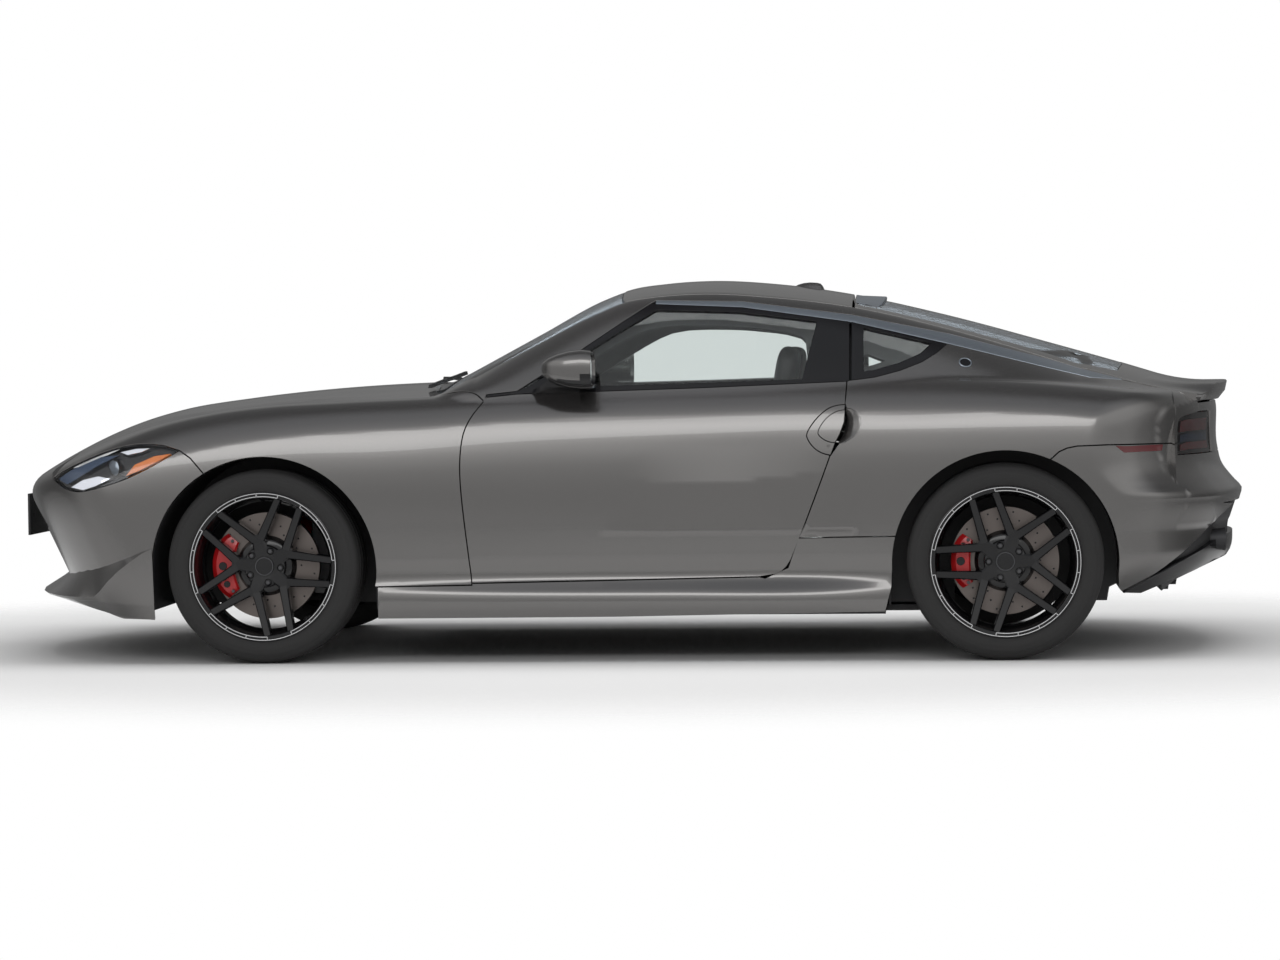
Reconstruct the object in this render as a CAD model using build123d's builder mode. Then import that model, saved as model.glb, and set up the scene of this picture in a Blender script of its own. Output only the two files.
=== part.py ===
"""Two-door fastback coupe, in millimetres.

The frame: +Z up, the floor at z = 0, the nose towards -X and the driver's side at -Y.
The origin is on the floor, under the middle of the overall length.
The body is one envelope, cut into its panels where the real panels meet.
"""

import math
import os
from build123d import *

# ---------------------------------------------------------------- driving dimensions
LENGTH = 4430.0  # plate bracket to rear bumper
WHEELBASE = 2550.0
FRONT_OVERHANG = 1003.0  # plate bracket's face to the front axle
TRACK_FRONT = 1554.0
TRACK_REAR = 1564.0
TYRE_RADIUS = 335.0
TYRE_WIDTH_FRONT = 255.0
TYRE_WIDTH_REAR = 275.0
ARCH_RADIUS = 388.0
ARCH_DROP = 10.0  # the arch's centre is this far under the axle
PANEL_GAP = 6.0  # shut line round everything that opens
GLASS = 5.0  # thickness of every pane
SKIN = 14.0  # bumper covers, fenders, cowl
LINER = 6.0  # wheelhouse liners
HOOD_THICK = 24.0
DOOR_THICK = 110.0  # whole door at its middle
DOOR_EDGE = 46.0  # the door's rim, which laps the body's step
WALL = 90.0  # quarter panels and sills
ROOF_THICK = 30.0
LAMP_DEPTH = 40.0
SEAL_STEP = 26.0  # how far the door's inner part stands inside its rim

X_FRONT = -LENGTH / 2 + FRONT_OVERHANG  # front axle
X_REAR = X_FRONT + WHEELBASE  # rear axle
X_TAIL = LENGTH / 2
BRACKET_DEPTH = 35.0
X_NOSE = -LENGTH / 2 + BRACKET_DEPTH
AXLE_Z = TYRE_RADIUS
ARCH_Z = AXLE_Z - ARCH_DROP
SILL_Z = 150.0

# ---------------------------------------------------------------- tables of the envelope
# Lower body, one row a station. Half widths and heights of the section's corners:
# x, sill y, sill z, widest y, z, shoulder y, z, crest y, z, centre z
BODY_STATIONS = [
    (-2260, 770, 150, 822, 430, 792, 515, 560, 530, 520),
    (-1960, 805, 150, 868, 450, 838, 600, 640, 690, 744),
    (-1600, 850, 150, 896, 520, 868, 700, 735, 805, 880),
    (-1212, 862, 150, 906, 560, 884, 735, 748, 884, 930),
    (-500, 858, 150, 894, 560, 878, 790, 786, 902, 962),
    (200, 858, 150, 893, 560, 880, 800, 812, 928, 962),
    (816, 860, 150, 902, 570, 890, 800, 800, 955, 962),
    (1338, 868, 165, 922, 600, 902, 780, 780, 912, 950),
    (1740, 850, 190, 902, 600, 880, 765, 728, 896, 930),
    (2260, 790, 200, 812, 560, 790, 690, 610, 800, 826),
]
# Glasshouse: x, base y, base z, rail y, rail z, centre z
CABIN_STATIONS = [
    (-760, 812, 740, 742, 835, 890),
    (-311, 830, 770, 672, 1072, 1134),
    (22, 838, 780, 620, 1236, 1292),
    (300, 842, 780, 612, 1254, 1317),
    (830, 840, 780, 616, 1192, 1257),
    (1138, 830, 780, 620, 1112, 1188),
    (1528, 794, 760, 600, 1000, 1078),
    (2240, 700, 700, 520, 836, 880),
]
# How the nose and the tail lean: height, x of the middle of that level
NOSE_LEVELS = [(60, -2052), (275, -2060), (575, X_NOSE), (1400, X_NOSE)]
TAIL_LEVELS = [(60, 1960), (230, 1990), (315, 2166), (435, 2180), (540, X_TAIL), (566, 2208), (650, 2130),
               (1400, 2110)]
# The ends in plan: how far back from the middle, half width
END_PLAN = [(0, 0), (135, 630), (245, 768), (430, 868), (640, 930), (900, 1000)]
HALF_BOX = 1000.0  # beyond any panel

# ---------------------------------------------------------------- side outlines, (x, z)
DOOR_OUTLINE = [(-437, 1000), (-437, 909), (-515, 807), (-526, 629), (-490, 271), (510, 288), (599, 339),
                (767, 754), (804, 950), (806, 1000)]
WINDOW_OUTLINE = [(-400, 870), (-345, 921), (126, 1224), (432, 1210), (816, 1158), (808, 950), (808, 870)]
WINDOW_REAR = [(700, 1400), (700, 1170), (650, 900), (600, 860), (1000, 860), (1000, 1400)]
QUARTER_WINDOW = [(830, 966), (830, 1150), (1149, 1083), (1090, 1030), (986, 992), (900, 970)]
SIDE_FRAME = [(-640, 880), (-445, 880), (-445, 914), (-345, 921), (126, 1224), (432, 1210), (650, 1180),
              (650, 950), (816, 964), (816, 1158), (1155, 1080), (1753, 946), (1753, 1400), (-640, 1400)]
LAMP_OUTLINE = [(-1985, 640), (-1867, 592), (-1760, 630), (-1504, 738), (-1600, 765), (-1712, 752),
                (-1850, 712)]
TAIL_LAMP = (1936, 345, 691, 862)  # front x, inner y, lower z, upper z
GRILLE = (520, 268, 556)  # half width, lower z, upper z
HOOD_PLAN = [(-2040, 0), (-2030, 330), (-1960, 560), (-1800, 618), (-1500, 700), (-1212, 730), (-590, 742),
             (-640, 600), (-690, 0)]
WINDSCREEN_PLAN = [(-900, 0), (-900, 742), (-311, 632), (18, 572), (-8, 0)]
ROOF_PLAN = [(-2, 0), (24, 572), (830, 552), (830, 0)]
HATCH_PLAN = [(836, 0), (836, 552), (1528, 530), (1930, 540), (2400, 545), (2400, 0)]
HATCH_GLASS_PLAN = [(886, 0), (886, 470), (1500, 446), (1760, 436), (1760, 0)]


# ---------------------------------------------------------------- the envelope
def body_section(x, sill_y, sill_z, wide_y, wide_z, shoulder_y, shoulder_z, crest_y, crest_z, top_z):
    """One closed section of the lower body, on the plane at x."""
    with BuildSketch(Plane.YZ.offset(x)) as section:
        with BuildLine():
            Line((-sill_y, sill_z), (sill_y, sill_z))
            for s in (1, -1):
                Line((s * sill_y, sill_z), (s * wide_y, wide_z))
                low_mid = ((wide_y + shoulder_y) / 2 + 6, (wide_z + shoulder_z) / 2)
                ThreePointArc((s * wide_y, wide_z), (s * low_mid[0], low_mid[1]),
                              (s * shoulder_y, shoulder_z))
                top_mid = ((shoulder_y + crest_y) / 2 + 12, (shoulder_z + crest_z) / 2 + 10)
                ThreePointArc((s * shoulder_y, shoulder_z), (s * top_mid[0], top_mid[1]),
                              (s * crest_y, crest_z))
            ThreePointArc((-crest_y, crest_z), (0, top_z), (crest_y, crest_z))
        make_face()
    return section.sketch


def body_loft(side_in=0.0, top_down=0.0, base_down=0.0):
    """The lower body with no ends, drawn in by side_in and lowered by top_down."""
    with BuildPart() as hull:
        for x, sy, sz, wy, wz, hy, hz, cy, cz, tz in BODY_STATIONS:
            add(body_section(x, sy - side_in, sz - base_down, wy - side_in, wz, hy - side_in,
                             hz - top_down * 0.4, cy - side_in, cz - top_down, tz - top_down))
        loft()
    return hull.part


def end_envelope(levels, face, inset):
    """What bounds the nose (face -1) or the tail (face 1): plan curves stacked by height."""
    (_, _), (d1, y1), (d2, y2), (d3, y3), (d4, y4), (d5, y5) = END_PLAN
    with BuildPart() as envelope:
        for z, middle in levels:
            x = middle - face * inset
            with BuildSketch(Plane.XY.offset(z)):
                with BuildLine():
                    ThreePointArc((x - face * d1, y1 - inset), (x, 0), (x - face * d1, inset - y1))
                    for s in (1, -1):
                        ThreePointArc((x - face * d1, s * (y1 - inset)), (x - face * d2, s * (y2 - inset)),
                                      (x - face * d3, s * (y3 - inset)))
                        Line((x - face * d3, s * (y3 - inset)), (x - face * d4, s * (y4 - inset)))
                        Line((x - face * d4, s * (y4 - inset)), (x - face * d5, s * y5))
                        Line((x - face * d5, s * y5), (-face * 3000, s * y5))
                    Line((-face * 3000, y5), (-face * 3000, -y5))
                make_face()
        loft(ruled=True)
    return envelope.part


def lower_body(side_in=0.0, top_down=0.0, ends_in=0.0, base_down=0.0):
    with BuildPart() as body:
        add(body_loft(side_in, top_down, base_down))
        add(end_envelope(NOSE_LEVELS, -1, ends_in), mode=Mode.INTERSECT)
        add(end_envelope(TAIL_LEVELS, 1, ends_in), mode=Mode.INTERSECT)
    return body.part


def cabin_loft(inset=0.0):
    """The glasshouse, drawn in by inset."""
    with BuildPart() as house:
        for x, by, bz, ry, rz, tz in CABIN_STATIONS:
            with BuildSketch(Plane.YZ.offset(x)):
                with BuildLine():
                    low, foot = (bz - 10, by - inset + 2) if inset > 0 else (bz, by - inset)
                    Line((-foot, low), (foot, low))
                    for s in (1, -1):
                        mid = ((by + ry) / 2 + 12 - inset, (bz + rz) / 2 + 6)
                        ThreePointArc((s * foot, low), (s * mid[0], mid[1]), (s * (ry - inset), rz - inset))
                    ThreePointArc((inset - ry, rz - inset), (0, tz - inset), (ry - inset, rz - inset))
                make_face()
        loft()
    return house.part


# ---------------------------------------------------------------- cutters
def side_prism(outline, near, far, grow=0.0):
    """A side outline, drawn through the left half from y = -near out to y = -far."""
    with BuildPart() as prism:
        with BuildSketch(Plane.XZ.offset(near)):
            with BuildLine():
                Polyline(*outline, close=True)
            make_face()
            if grow:
                offset(amount=grow, kind=Kind.INTERSECTION)
        extrude(amount=far - near)
    return prism.part


def plan_prism(outline, low, high, grow=0.0):
    """A plan outline given for one side, mirrored and drawn from z = low to z = high."""
    other_side = [(x, -y) for x, y in reversed(outline) if y]
    with BuildPart() as prism:
        with BuildSketch(Plane.XY.offset(low)):
            with BuildLine():
                Polyline(*outline, *other_side, close=True)
            make_face()
            if grow:
                offset(amount=grow, kind=Kind.INTERSECTION)
        extrude(amount=high - low)
    return prism.part


def block(x0, x1, y0, y1, z0, z1):
    with BuildPart() as solid:
        with Locations(((x0 + x1) / 2, (y0 + y1) / 2, (z0 + z1) / 2)):
            Box(x1 - x0, y1 - y0, z1 - z0)
    return solid.part


def arch_cut(x, radius, y_in):
    """Wheel arch opening on the left, from y_in outwards: round over the wheel, straight below it."""
    with BuildPart() as cut:
        with BuildSketch(Plane.XZ.offset(y_in)):
            with Locations((x, ARCH_Z)):
                Circle(radius)
            with Locations((x, ARCH_Z / 2)):
                Rectangle(2 * radius, ARCH_Z)
        extrude(amount=HALF_BOX + 100 - y_in)
    return cut.part


def mirrored(part):
    return mirror(part, about=Plane.XZ)


def write(name, part):
    part.label = name
    export_step(part, f"parts/{name}.step")
    litres = round(part.volume / 1e6, 2)
    print(name, litres, "litres", len(part.solids()), "solids", part.is_valid, flush=True)


# ---------------------------------------------------------------- the hulls that panels are cut from
os.makedirs("parts", exist_ok=True)
HULL = lower_body()
HULL_SKIN = lower_body(SKIN, SKIN, SKIN, 60)
HULL_HOOD = lower_body(HOOD_THICK, HOOD_THICK, HOOD_THICK, 60)
HULL_EDGE = lower_body(DOOR_EDGE, SKIN, SKIN, 60)
HULL_LAMP = lower_body(LAMP_DEPTH, LAMP_DEPTH, LAMP_DEPTH, 60)
HULL_DOOR = lower_body(DOOR_THICK, SEAL_STEP, SKIN, 60)
HULL_WALL = lower_body(WALL, DOOR_EDGE, WALL, 60)
with BuildPart() as tail_end:
    add(end_envelope(TAIL_LEVELS, 1, 0))
CABIN = cabin_loft()
CABIN_PANE = cabin_loft(GLASS)
CABIN_INNER = cabin_loft(ROOF_THICK)
with BuildPart() as cabin_shell:
    add(CABIN)
    add(CABIN_INNER, mode=Mode.SUBTRACT)
    add(tail_end.part, mode=Mode.INTERSECT)
with BuildPart() as pane_shell:
    add(CABIN)
    add(CABIN_PANE, mode=Mode.SUBTRACT)
HOOD_CUT = plan_prism(HOOD_PLAN, 560, 1300, PANEL_GAP)
HATCH_CUT = plan_prism(HATCH_PLAN, 700, 1500, PANEL_GAP)
LAMP_CUT = side_prism(LAMP_OUTLINE, 300, 1100, 2)
FRONT_ARCH = arch_cut(X_FRONT, ARCH_RADIUS, 0)
REAR_ARCH = arch_cut(X_REAR, ARCH_RADIUS, 0)
DOOR_CUT = side_prism(DOOR_OUTLINE, 500, 1100, PANEL_GAP)
FRONT_REGION = [(-2400, 1100), (-1988, 1100), (-1988, 650), (-1750, 690), (-1504, 738), (-1420, 698),
                (-1300, 60), (-2400, 60)]
FENDER_REGION = [(-1985, 1100), (-1985, 652), (-1750, 692), (-1502, 740), (-1417, 700), (-1297, 266),
                 (-440, 266), (-440, 1100)]
REAR_REGION = [(1300, 200), (1300, 640), (1488, 695), (1573, 728), (1928, 727), (1936, 690),
               (2400, 690), (2400, 60), (1300, 60)]
QUARTER_REGION = [(480, 425), (480, 1500), (2400, 1500), (2400, 693), (1942, 693), (1934, 731),
                  (1573, 732), (1488, 699), (1300, 644), (1102, 425)]


def skin_piece(region, inner, *cuts):
    """The envelope's skin within a region, from the outer surface in to the inner hull, without the cuts."""
    with BuildPart() as piece:
        add(region)
        add(HULL, mode=Mode.INTERSECT)
        add(inner, mode=Mode.SUBTRACT)
        for cut in cuts:
            add(cut, mode=Mode.SUBTRACT)
    return piece.part


def both_sides(part):
    """The left piece and its mirror image, two solids of one node."""
    with BuildPart() as pair:
        add(part)
        add(mirrored(part))
    return pair.part


# ---------------------------------------------------------------- nose
HALF_GRILLE, GRILLE_LOW, GRILLE_HIGH = GRILLE
with BuildPart() as splitter:
    add(end_envelope([(213, -2160), (236, -2152)], -1, 0))
    add(block(-2200, -1800, -740, 740, 200, 240), mode=Mode.INTERSECT)
    add(HULL_SKIN, mode=Mode.SUBTRACT)
with BuildPart() as front_bumper:
    add(skin_piece(side_prism(FRONT_REGION, -1100, 1100), HULL_SKIN))
    add(splitter.part)
    add(HOOD_CUT, mode=Mode.SUBTRACT)
    add(LAMP_CUT, mode=Mode.SUBTRACT)
    add(mirrored(LAMP_CUT), mode=Mode.SUBTRACT)
    add(FRONT_ARCH, mode=Mode.SUBTRACT)
    add(mirrored(FRONT_ARCH), mode=Mode.SUBTRACT)
    with Locations((-2100, 0, (GRILLE_LOW + GRILLE_HIGH) / 2)):
        Box(400, 2 * HALF_GRILLE, GRILLE_HIGH - GRILLE_LOW, mode=Mode.SUBTRACT)
write("front_bumper", front_bumper.part)

with BuildPart() as front_grille:
    add(lower_body(SKIN, SKIN, SKIN + 6, 60))
    add(lower_body(SKIN + 16, SKIN, SKIN + 16, 60), mode=Mode.SUBTRACT)
    add(block(-2300, -1950, -HALF_GRILLE - 14, HALF_GRILLE + 14, GRILLE_LOW - 8, GRILLE_HIGH + 8),
        mode=Mode.INTERSECT)
    bar_count = 9
    pitch = (GRILLE_HIGH - GRILLE_LOW) / bar_count
    with Locations(*[(-2100, 0, GRILLE_LOW + pitch * (k + 0.5)) for k in range(bar_count)]):
        Box(400, 2 * HALF_GRILLE - 40, pitch * 0.62, mode=Mode.SUBTRACT)
write("front_grille", front_grille.part)

BRACKET_HOLES = 178.0  # between the plate's two screws
with BuildPart() as plate_bracket:
    with Locations((-LENGTH / 2 + 4, 0, 491)):
        Box(8, 310, 152)
    with Locations((-LENGTH / 2 + 4 + 20, 0, 491)):
        Box(32, 60, 120)
    add(HULL, mode=Mode.SUBTRACT)
    add(block(-LENGTH / 2 + 8, -2100, -160, 160, 400, GRILLE_HIGH), mode=Mode.SUBTRACT)
    with Locations(Plane((-LENGTH / 2, 0, 491), x_dir=(0, 1, 0), z_dir=(-1, 0, 0))):
        with GridLocations(BRACKET_HOLES, 1, 2, 1):
            Hole(3.5, 60)
write("plate_bracket", plate_bracket.part)

COWL_X = (-800, -440)  # cowl panel between the hood and the windscreen
COWL_HALF = 741
FENDER_TOP_CUT = block(*COWL_X, -COWL_HALF - 2, 0, 860, 1000)
front_fender = skin_piece(side_prism(FENDER_REGION, 300, 1100), HULL_SKIN, HOOD_CUT, LAMP_CUT, FRONT_ARCH,
                          DOOR_CUT, CABIN, FENDER_TOP_CUT)
write("front_fenders", both_sides(front_fender))

headlamp = skin_piece(side_prism(LAMP_OUTLINE, 300, 1100), HULL_HOOD, HOOD_CUT)
write("headlamps", both_sides(headlamp))

hood = skin_piece(plan_prism(HOOD_PLAN, 560, 1300), HULL_HOOD, CABIN)
write("hood", hood)

cowl_panel = skin_piece(block(*COWL_X, -COWL_HALF, COWL_HALF, 880, 1000), HULL_SKIN, HOOD_CUT, CABIN)
write("cowl_panel", cowl_panel)


# ---------------------------------------------------------------- floor and middle
SILL_REGION = [(-818, 150), (-818, 266), (-490, 266), (510, 288), (599, 339), (634, 420), (957, 420),
               (957, 60), (-818, 60)]
TUNNEL_HALF = 120.0
FLOOR_TOP = 172.0
BULKHEAD_X = 1080.0
LOAD_FLOOR_Z = 575.0
PAD_SIZE = (70.0, 44.0, 14.0)
PAD_PLACES = [(-640, 800), (760, 800)]

with BuildPart() as sill:
    add(skin_piece(side_prism(SILL_REGION, 500, 1100, -1.5), HULL_WALL, DOOR_CUT, FRONT_ARCH, REAR_ARCH))
    with Locations(*[(x, -y, SILL_Z + 2 - PAD_SIZE[2] / 2) for x, y in PAD_PLACES]):
        Box(*PAD_SIZE)
write("sills", both_sides(sill.part))

with BuildPart() as floor_pan:
    add(block(-700, 930, -820, 820, SILL_Z + 2, FLOOR_TOP))
    add(block(930, BULKHEAD_X, -618, 618, SILL_Z + 2, FLOOR_TOP))
    add(block(-650, -634, -800, 800, SILL_Z + 2, 880))
    add(block(BULKHEAD_X - 12, BULKHEAD_X, -618, 618, SILL_Z + 2, LOAD_FLOOR_Z))
    add(block(BULKHEAD_X - 12, 2070, -618, 618, LOAD_FLOOR_Z - 12, LOAD_FLOOR_Z))
    add(block(-650, BULKHEAD_X, -TUNNEL_HALF, TUNNEL_HALF, FLOOR_TOP - 4, 350))
    add(block(-660, BULKHEAD_X + 5, -TUNNEL_HALF + 8, TUNNEL_HALF - 8, 0, 342), mode=Mode.SUBTRACT)
    for side in (-1, 1):
        add(block(-650, -545, min(side * 840, side * 700), max(side * 840, side * 700), SILL_Z + 2, 880))
    add(HULL_WALL, mode=Mode.INTERSECT)
write("floor_pan", floor_pan.part)

with BuildPart() as liner:
    for axle_x, inner in ((X_FRONT, 472), (X_REAR, 632)):
        with BuildSketch(Plane.XZ.offset(inner)):
            with Locations((axle_x, ARCH_Z)):
                Circle(ARCH_RADIUS + 8)
            with Locations((axle_x, ARCH_Z - 200)):
                Rectangle(3 * ARCH_RADIUS, 400, mode=Mode.SUBTRACT)
            with Locations((axle_x, ARCH_Z - 70)):
                Rectangle(2 * ARCH_RADIUS + 16, 142)
        extrude(amount=HALF_BOX - inner)
        with BuildSketch(Plane.XZ.offset(inner + LINER)):
            with Locations((axle_x, ARCH_Z)):
                Circle(ARCH_RADIUS + 2)
            with Locations((axle_x, ARCH_Z - 160)):
                Rectangle(2 * ARCH_RADIUS + 4, 320)
        extrude(amount=HALF_BOX, mode=Mode.SUBTRACT)
        with BuildSketch(Plane.XZ.offset(inner - 5)):
            with Locations((axle_x, AXLE_Z)):
                Circle(170)
            with Locations((axle_x, 160)):
                Rectangle(340, 200)
        extrude(amount=30, mode=Mode.SUBTRACT)
with BuildPart() as front_liner:
    add(liner.part)
    add(block(-2300, 0, -1000, 0, 0, 1000), mode=Mode.INTERSECT)
    add(HULL_SKIN, mode=Mode.INTERSECT)
with BuildPart() as rear_liner:
    add(liner.part)
    add(block(0, 2300, -1000, 0, 0, 1000), mode=Mode.INTERSECT)
    add(HULL_WALL, mode=Mode.INTERSECT)
with BuildPart() as wheelhouses:
    add(both_sides(front_liner.part))
    add(both_sides(rear_liner.part))
    add(sill.part, mode=Mode.SUBTRACT)
    add(mirrored(sill.part), mode=Mode.SUBTRACT)
    add(floor_pan.part, mode=Mode.SUBTRACT)
write("wheelhouses", wheelhouses.part)

# ---------------------------------------------------------------- doors
DOOR_INNER_TOP = 902.0
DOOR_INNER_FACE = 720.0
CABIN_CLEAR = cabin_loft(-PANEL_GAP)
with BuildPart() as door_inner_region:
    add(side_prism(DOOR_OUTLINE, DOOR_INNER_FACE, 1100, -SEAL_STEP))
    add(block(-600, 900, -1100, 0, 0, DOOR_INNER_TOP), mode=Mode.INTERSECT)
door_rim = skin_piece(side_prism(DOOR_OUTLINE, 500, 1100), HULL_EDGE, CABIN_CLEAR)
with BuildPart() as door_inner:
    add(door_inner_region.part)
    add(HULL_EDGE, mode=Mode.INTERSECT)
    add(HULL_DOOR, mode=Mode.SUBTRACT)
with BuildPart() as door_left:
    add(door_rim)
    add(door_inner.part)
write("door_left", door_left.part)
write("door_right", mirrored(door_left.part))

with BuildPart() as door_glass:
    add(side_prism(WINDOW_OUTLINE, 300, 1100))
    add(side_prism(WINDOW_REAR, 300, 1100), mode=Mode.SUBTRACT)
    add(block(-600, 900, -1100, 0, DOOR_INNER_TOP + 4, 1400), mode=Mode.INTERSECT)
    add(pane_shell.part, mode=Mode.INTERSECT)
write("door_glass_left", door_glass.part)
write("door_glass_right", mirrored(door_glass.part))

MIRROR_AT = (-150.0, 888.0, 998.0)
with BuildPart() as mirror_left:
    with BuildSketch(Plane.YZ.offset(-232)):
        with Locations((-MIRROR_AT[1], MIRROR_AT[2])):
            RectangleRounded(96, 40, 18)
    with BuildSketch(Plane.YZ.offset(-170)):
        with Locations((-MIRROR_AT[1], MIRROR_AT[2])):
            RectangleRounded(150, 104, 40)
    with BuildSketch(Plane.YZ.offset(-68)):
        with Locations((-MIRROR_AT[1], MIRROR_AT[2] + 2)):
            RectangleRounded(156, 118, 44)
    loft()
    with BuildSketch(Plane.XZ.offset(805)):
        with Locations((-200, 925)):
            Rectangle(70, 26)
    with BuildSketch(Plane.XZ.offset(850)):
        with Locations((-170, 965)):
            Rectangle(70, 30)
    loft()
    add(door_left.part, mode=Mode.SUBTRACT)
write("mirror_left", mirror_left.part)
write("mirror_right", mirrored(mirror_left.part))

# ---------------------------------------------------------------- glasshouse
ROOF_CUT = plan_prism(ROOF_PLAN, 1000, 1500, 1.5)
SCREEN_CUT = plan_prism(WINDSCREEN_PLAN, 700, 1500, 1.5)
with BuildPart() as windscreen:
    add(pane_shell.part)
    add(plan_prism(WINDSCREEN_PLAN, 700, 1500), mode=Mode.INTERSECT)
    add(block(-900, 100, -800, 800, 900, 1400), mode=Mode.INTERSECT)
    add(hood, mode=Mode.SUBTRACT)
    add(cowl_panel, mode=Mode.SUBTRACT)
write("windscreen", windscreen.part)

with BuildPart() as roof_panel:
    add(cabin_shell.part)
    add(plan_prism(ROOF_PLAN, 1000, 1500), mode=Mode.INTERSECT)
write("roof_panel", roof_panel.part)

with BuildPart() as quarter_glass:
    add(pane_shell.part)
    add(side_prism(QUARTER_WINDOW, 300, 1100), mode=Mode.INTERSECT)
write("quarter_windows", both_sides(quarter_glass.part))

QUARTER_RECESS = side_prism(QUARTER_WINDOW, 300, 1100, 1.5)
QUARTER_HOLE = side_prism(QUARTER_WINDOW, 300, 1100, -14)
with BuildPart() as pane_recess:
    add(pane_shell.part)
    add(QUARTER_RECESS, mode=Mode.INTERSECT)
with BuildPart() as door_glass_gap:
    add(side_prism([*WINDOW_OUTLINE[:4], (700, 1173), (650, 900), (640, 860)], 300, 1100, PANEL_GAP))
with BuildPart() as side_frame:
    add(cabin_shell.part)
    add(side_prism(SIDE_FRAME, 300, 1100), mode=Mode.INTERSECT)
    add(ROOF_CUT, mode=Mode.SUBTRACT)
    add(SCREEN_CUT, mode=Mode.SUBTRACT)
    add(HATCH_CUT, mode=Mode.SUBTRACT)
    add(door_glass_gap.part, mode=Mode.SUBTRACT)
    add(pane_recess.part, mode=Mode.SUBTRACT)
    add(QUARTER_HOLE, mode=Mode.SUBTRACT)
    add(front_fender, mode=Mode.SUBTRACT)
write("side_frames", both_sides(side_frame.part))

# ---------------------------------------------------------------- tail
FRAME_CUT = side_prism(SIDE_FRAME, 300, 1100, 1.5)
LAMP_X, LAMP_Y, LAMP_LOW, LAMP_HIGH = TAIL_LAMP
TAIL_LAMP_CUT = block(LAMP_X, 2400, -1100, -LAMP_Y, LAMP_LOW - 3, LAMP_HIGH)
quarter_side = skin_piece(side_prism(QUARTER_REGION, 0, 1100), HULL_WALL, CABIN, DOOR_CUT, REAR_ARCH)
with BuildPart() as rear_pillar:
    add(cabin_shell.part)
    add(side_prism([(812, 800), (812, 1500), (2300, 1500), (2300, 745)], 0, 1100), mode=Mode.INTERSECT)
    add(FRAME_CUT, mode=Mode.SUBTRACT)
    add(pane_recess.part, mode=Mode.SUBTRACT)
    add(QUARTER_HOLE, mode=Mode.SUBTRACT)
with BuildPart() as quarter_panel:
    add(quarter_side)
    add(rear_pillar.part)
    add(HATCH_CUT, mode=Mode.SUBTRACT)
    add(TAIL_LAMP_CUT, mode=Mode.SUBTRACT)
    add(block(400, 2400, -300, 1100, 0, 1500), mode=Mode.SUBTRACT)
write("quarter_panels", both_sides(quarter_panel.part))

tail_lamp = skin_piece(block(LAMP_X + 3, 2400, -1100, -LAMP_Y - 3, LAMP_LOW + 3, LAMP_HIGH - 3), HULL_LAMP)
write("tail_lamps", both_sides(tail_lamp))

hatch_face = skin_piece(block(2000, 2400, -LAMP_Y + 3, LAMP_Y - 3, 700, 900), HULL_HOOD)
with BuildPart() as duck_tail:
    with BuildSketch(Plane.XZ.offset(-500)):
        with BuildLine():
            Polyline((1930, 860), (1990, 938), (2125, 938), (2112, 860), close=True)
        make_face()
    extrude(amount=1000)
    add(HULL_HOOD, mode=Mode.SUBTRACT)
    add(CABIN_INNER, mode=Mode.SUBTRACT)
HATCH_GLASS_CUT = plan_prism(HATCH_GLASS_PLAN, 900, 1500, 1.5)
with BuildPart() as hatch_glass:
    add(pane_shell.part)
    add(plan_prism(HATCH_GLASS_PLAN, 900, 1500), mode=Mode.INTERSECT)
write("hatch_glass", hatch_glass.part)
with BuildPart() as hatch_recess:
    add(pane_shell.part)
    add(HATCH_GLASS_CUT, mode=Mode.INTERSECT)
with BuildPart() as hatch_panel:
    add(cabin_shell.part)
    add(plan_prism(HATCH_PLAN, 700, 1500), mode=Mode.INTERSECT)
    add(duck_tail.part)
    add(hatch_face)
    add(hatch_recess.part, mode=Mode.SUBTRACT)
    add(plan_prism(HATCH_GLASS_PLAN, 900, 1500, -18), mode=Mode.SUBTRACT)
    for side in (-1, 1):
        inner, outer = LAMP_Y - 3, 600
        add(block(LAMP_X - 6, 2400, min(side * inner, side * outer), max(side * inner, side * outer), 600,
                  LAMP_HIGH + 6), mode=Mode.SUBTRACT)
write("hatch_panel", hatch_panel.part)

TIP_Y = 470.0
TIP_Z = 385.0
TIP_RADIUS = 40.0
with BuildPart() as rear_bumper:
    add(skin_piece(side_prism(REAR_REGION, -1100, 1100), HULL_SKIN))
    add(REAR_ARCH, mode=Mode.SUBTRACT)
    add(mirrored(REAR_ARCH), mode=Mode.SUBTRACT)
    with Locations((2100, 0, 250)):
        Box(700, 1060, 150, mode=Mode.SUBTRACT)
    with BuildSketch(Plane.YZ.offset(1950)):
        with Locations((-TIP_Y, TIP_Z), (TIP_Y, TIP_Z)):
            Circle(TIP_RADIUS + 5)
    extrude(amount=300, mode=Mode.SUBTRACT)
write("rear_bumper", rear_bumper.part)

with BuildPart() as rear_diffuser:
    with BuildSketch(Plane.XZ.offset(-520)):
        with BuildLine():
            Polyline((1890, 205), (2150, 316), (2150, 330), (1890, 230), close=True)
        make_face()
    extrude(amount=1040)
    with Locations(*[(2020, y, 250) for y in (-390, -130, 130, 390)]):
        Box(240, 8, 90)
    add(HULL_SKIN, mode=Mode.INTERSECT)
write("rear_diffuser", rear_diffuser.part)

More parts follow.
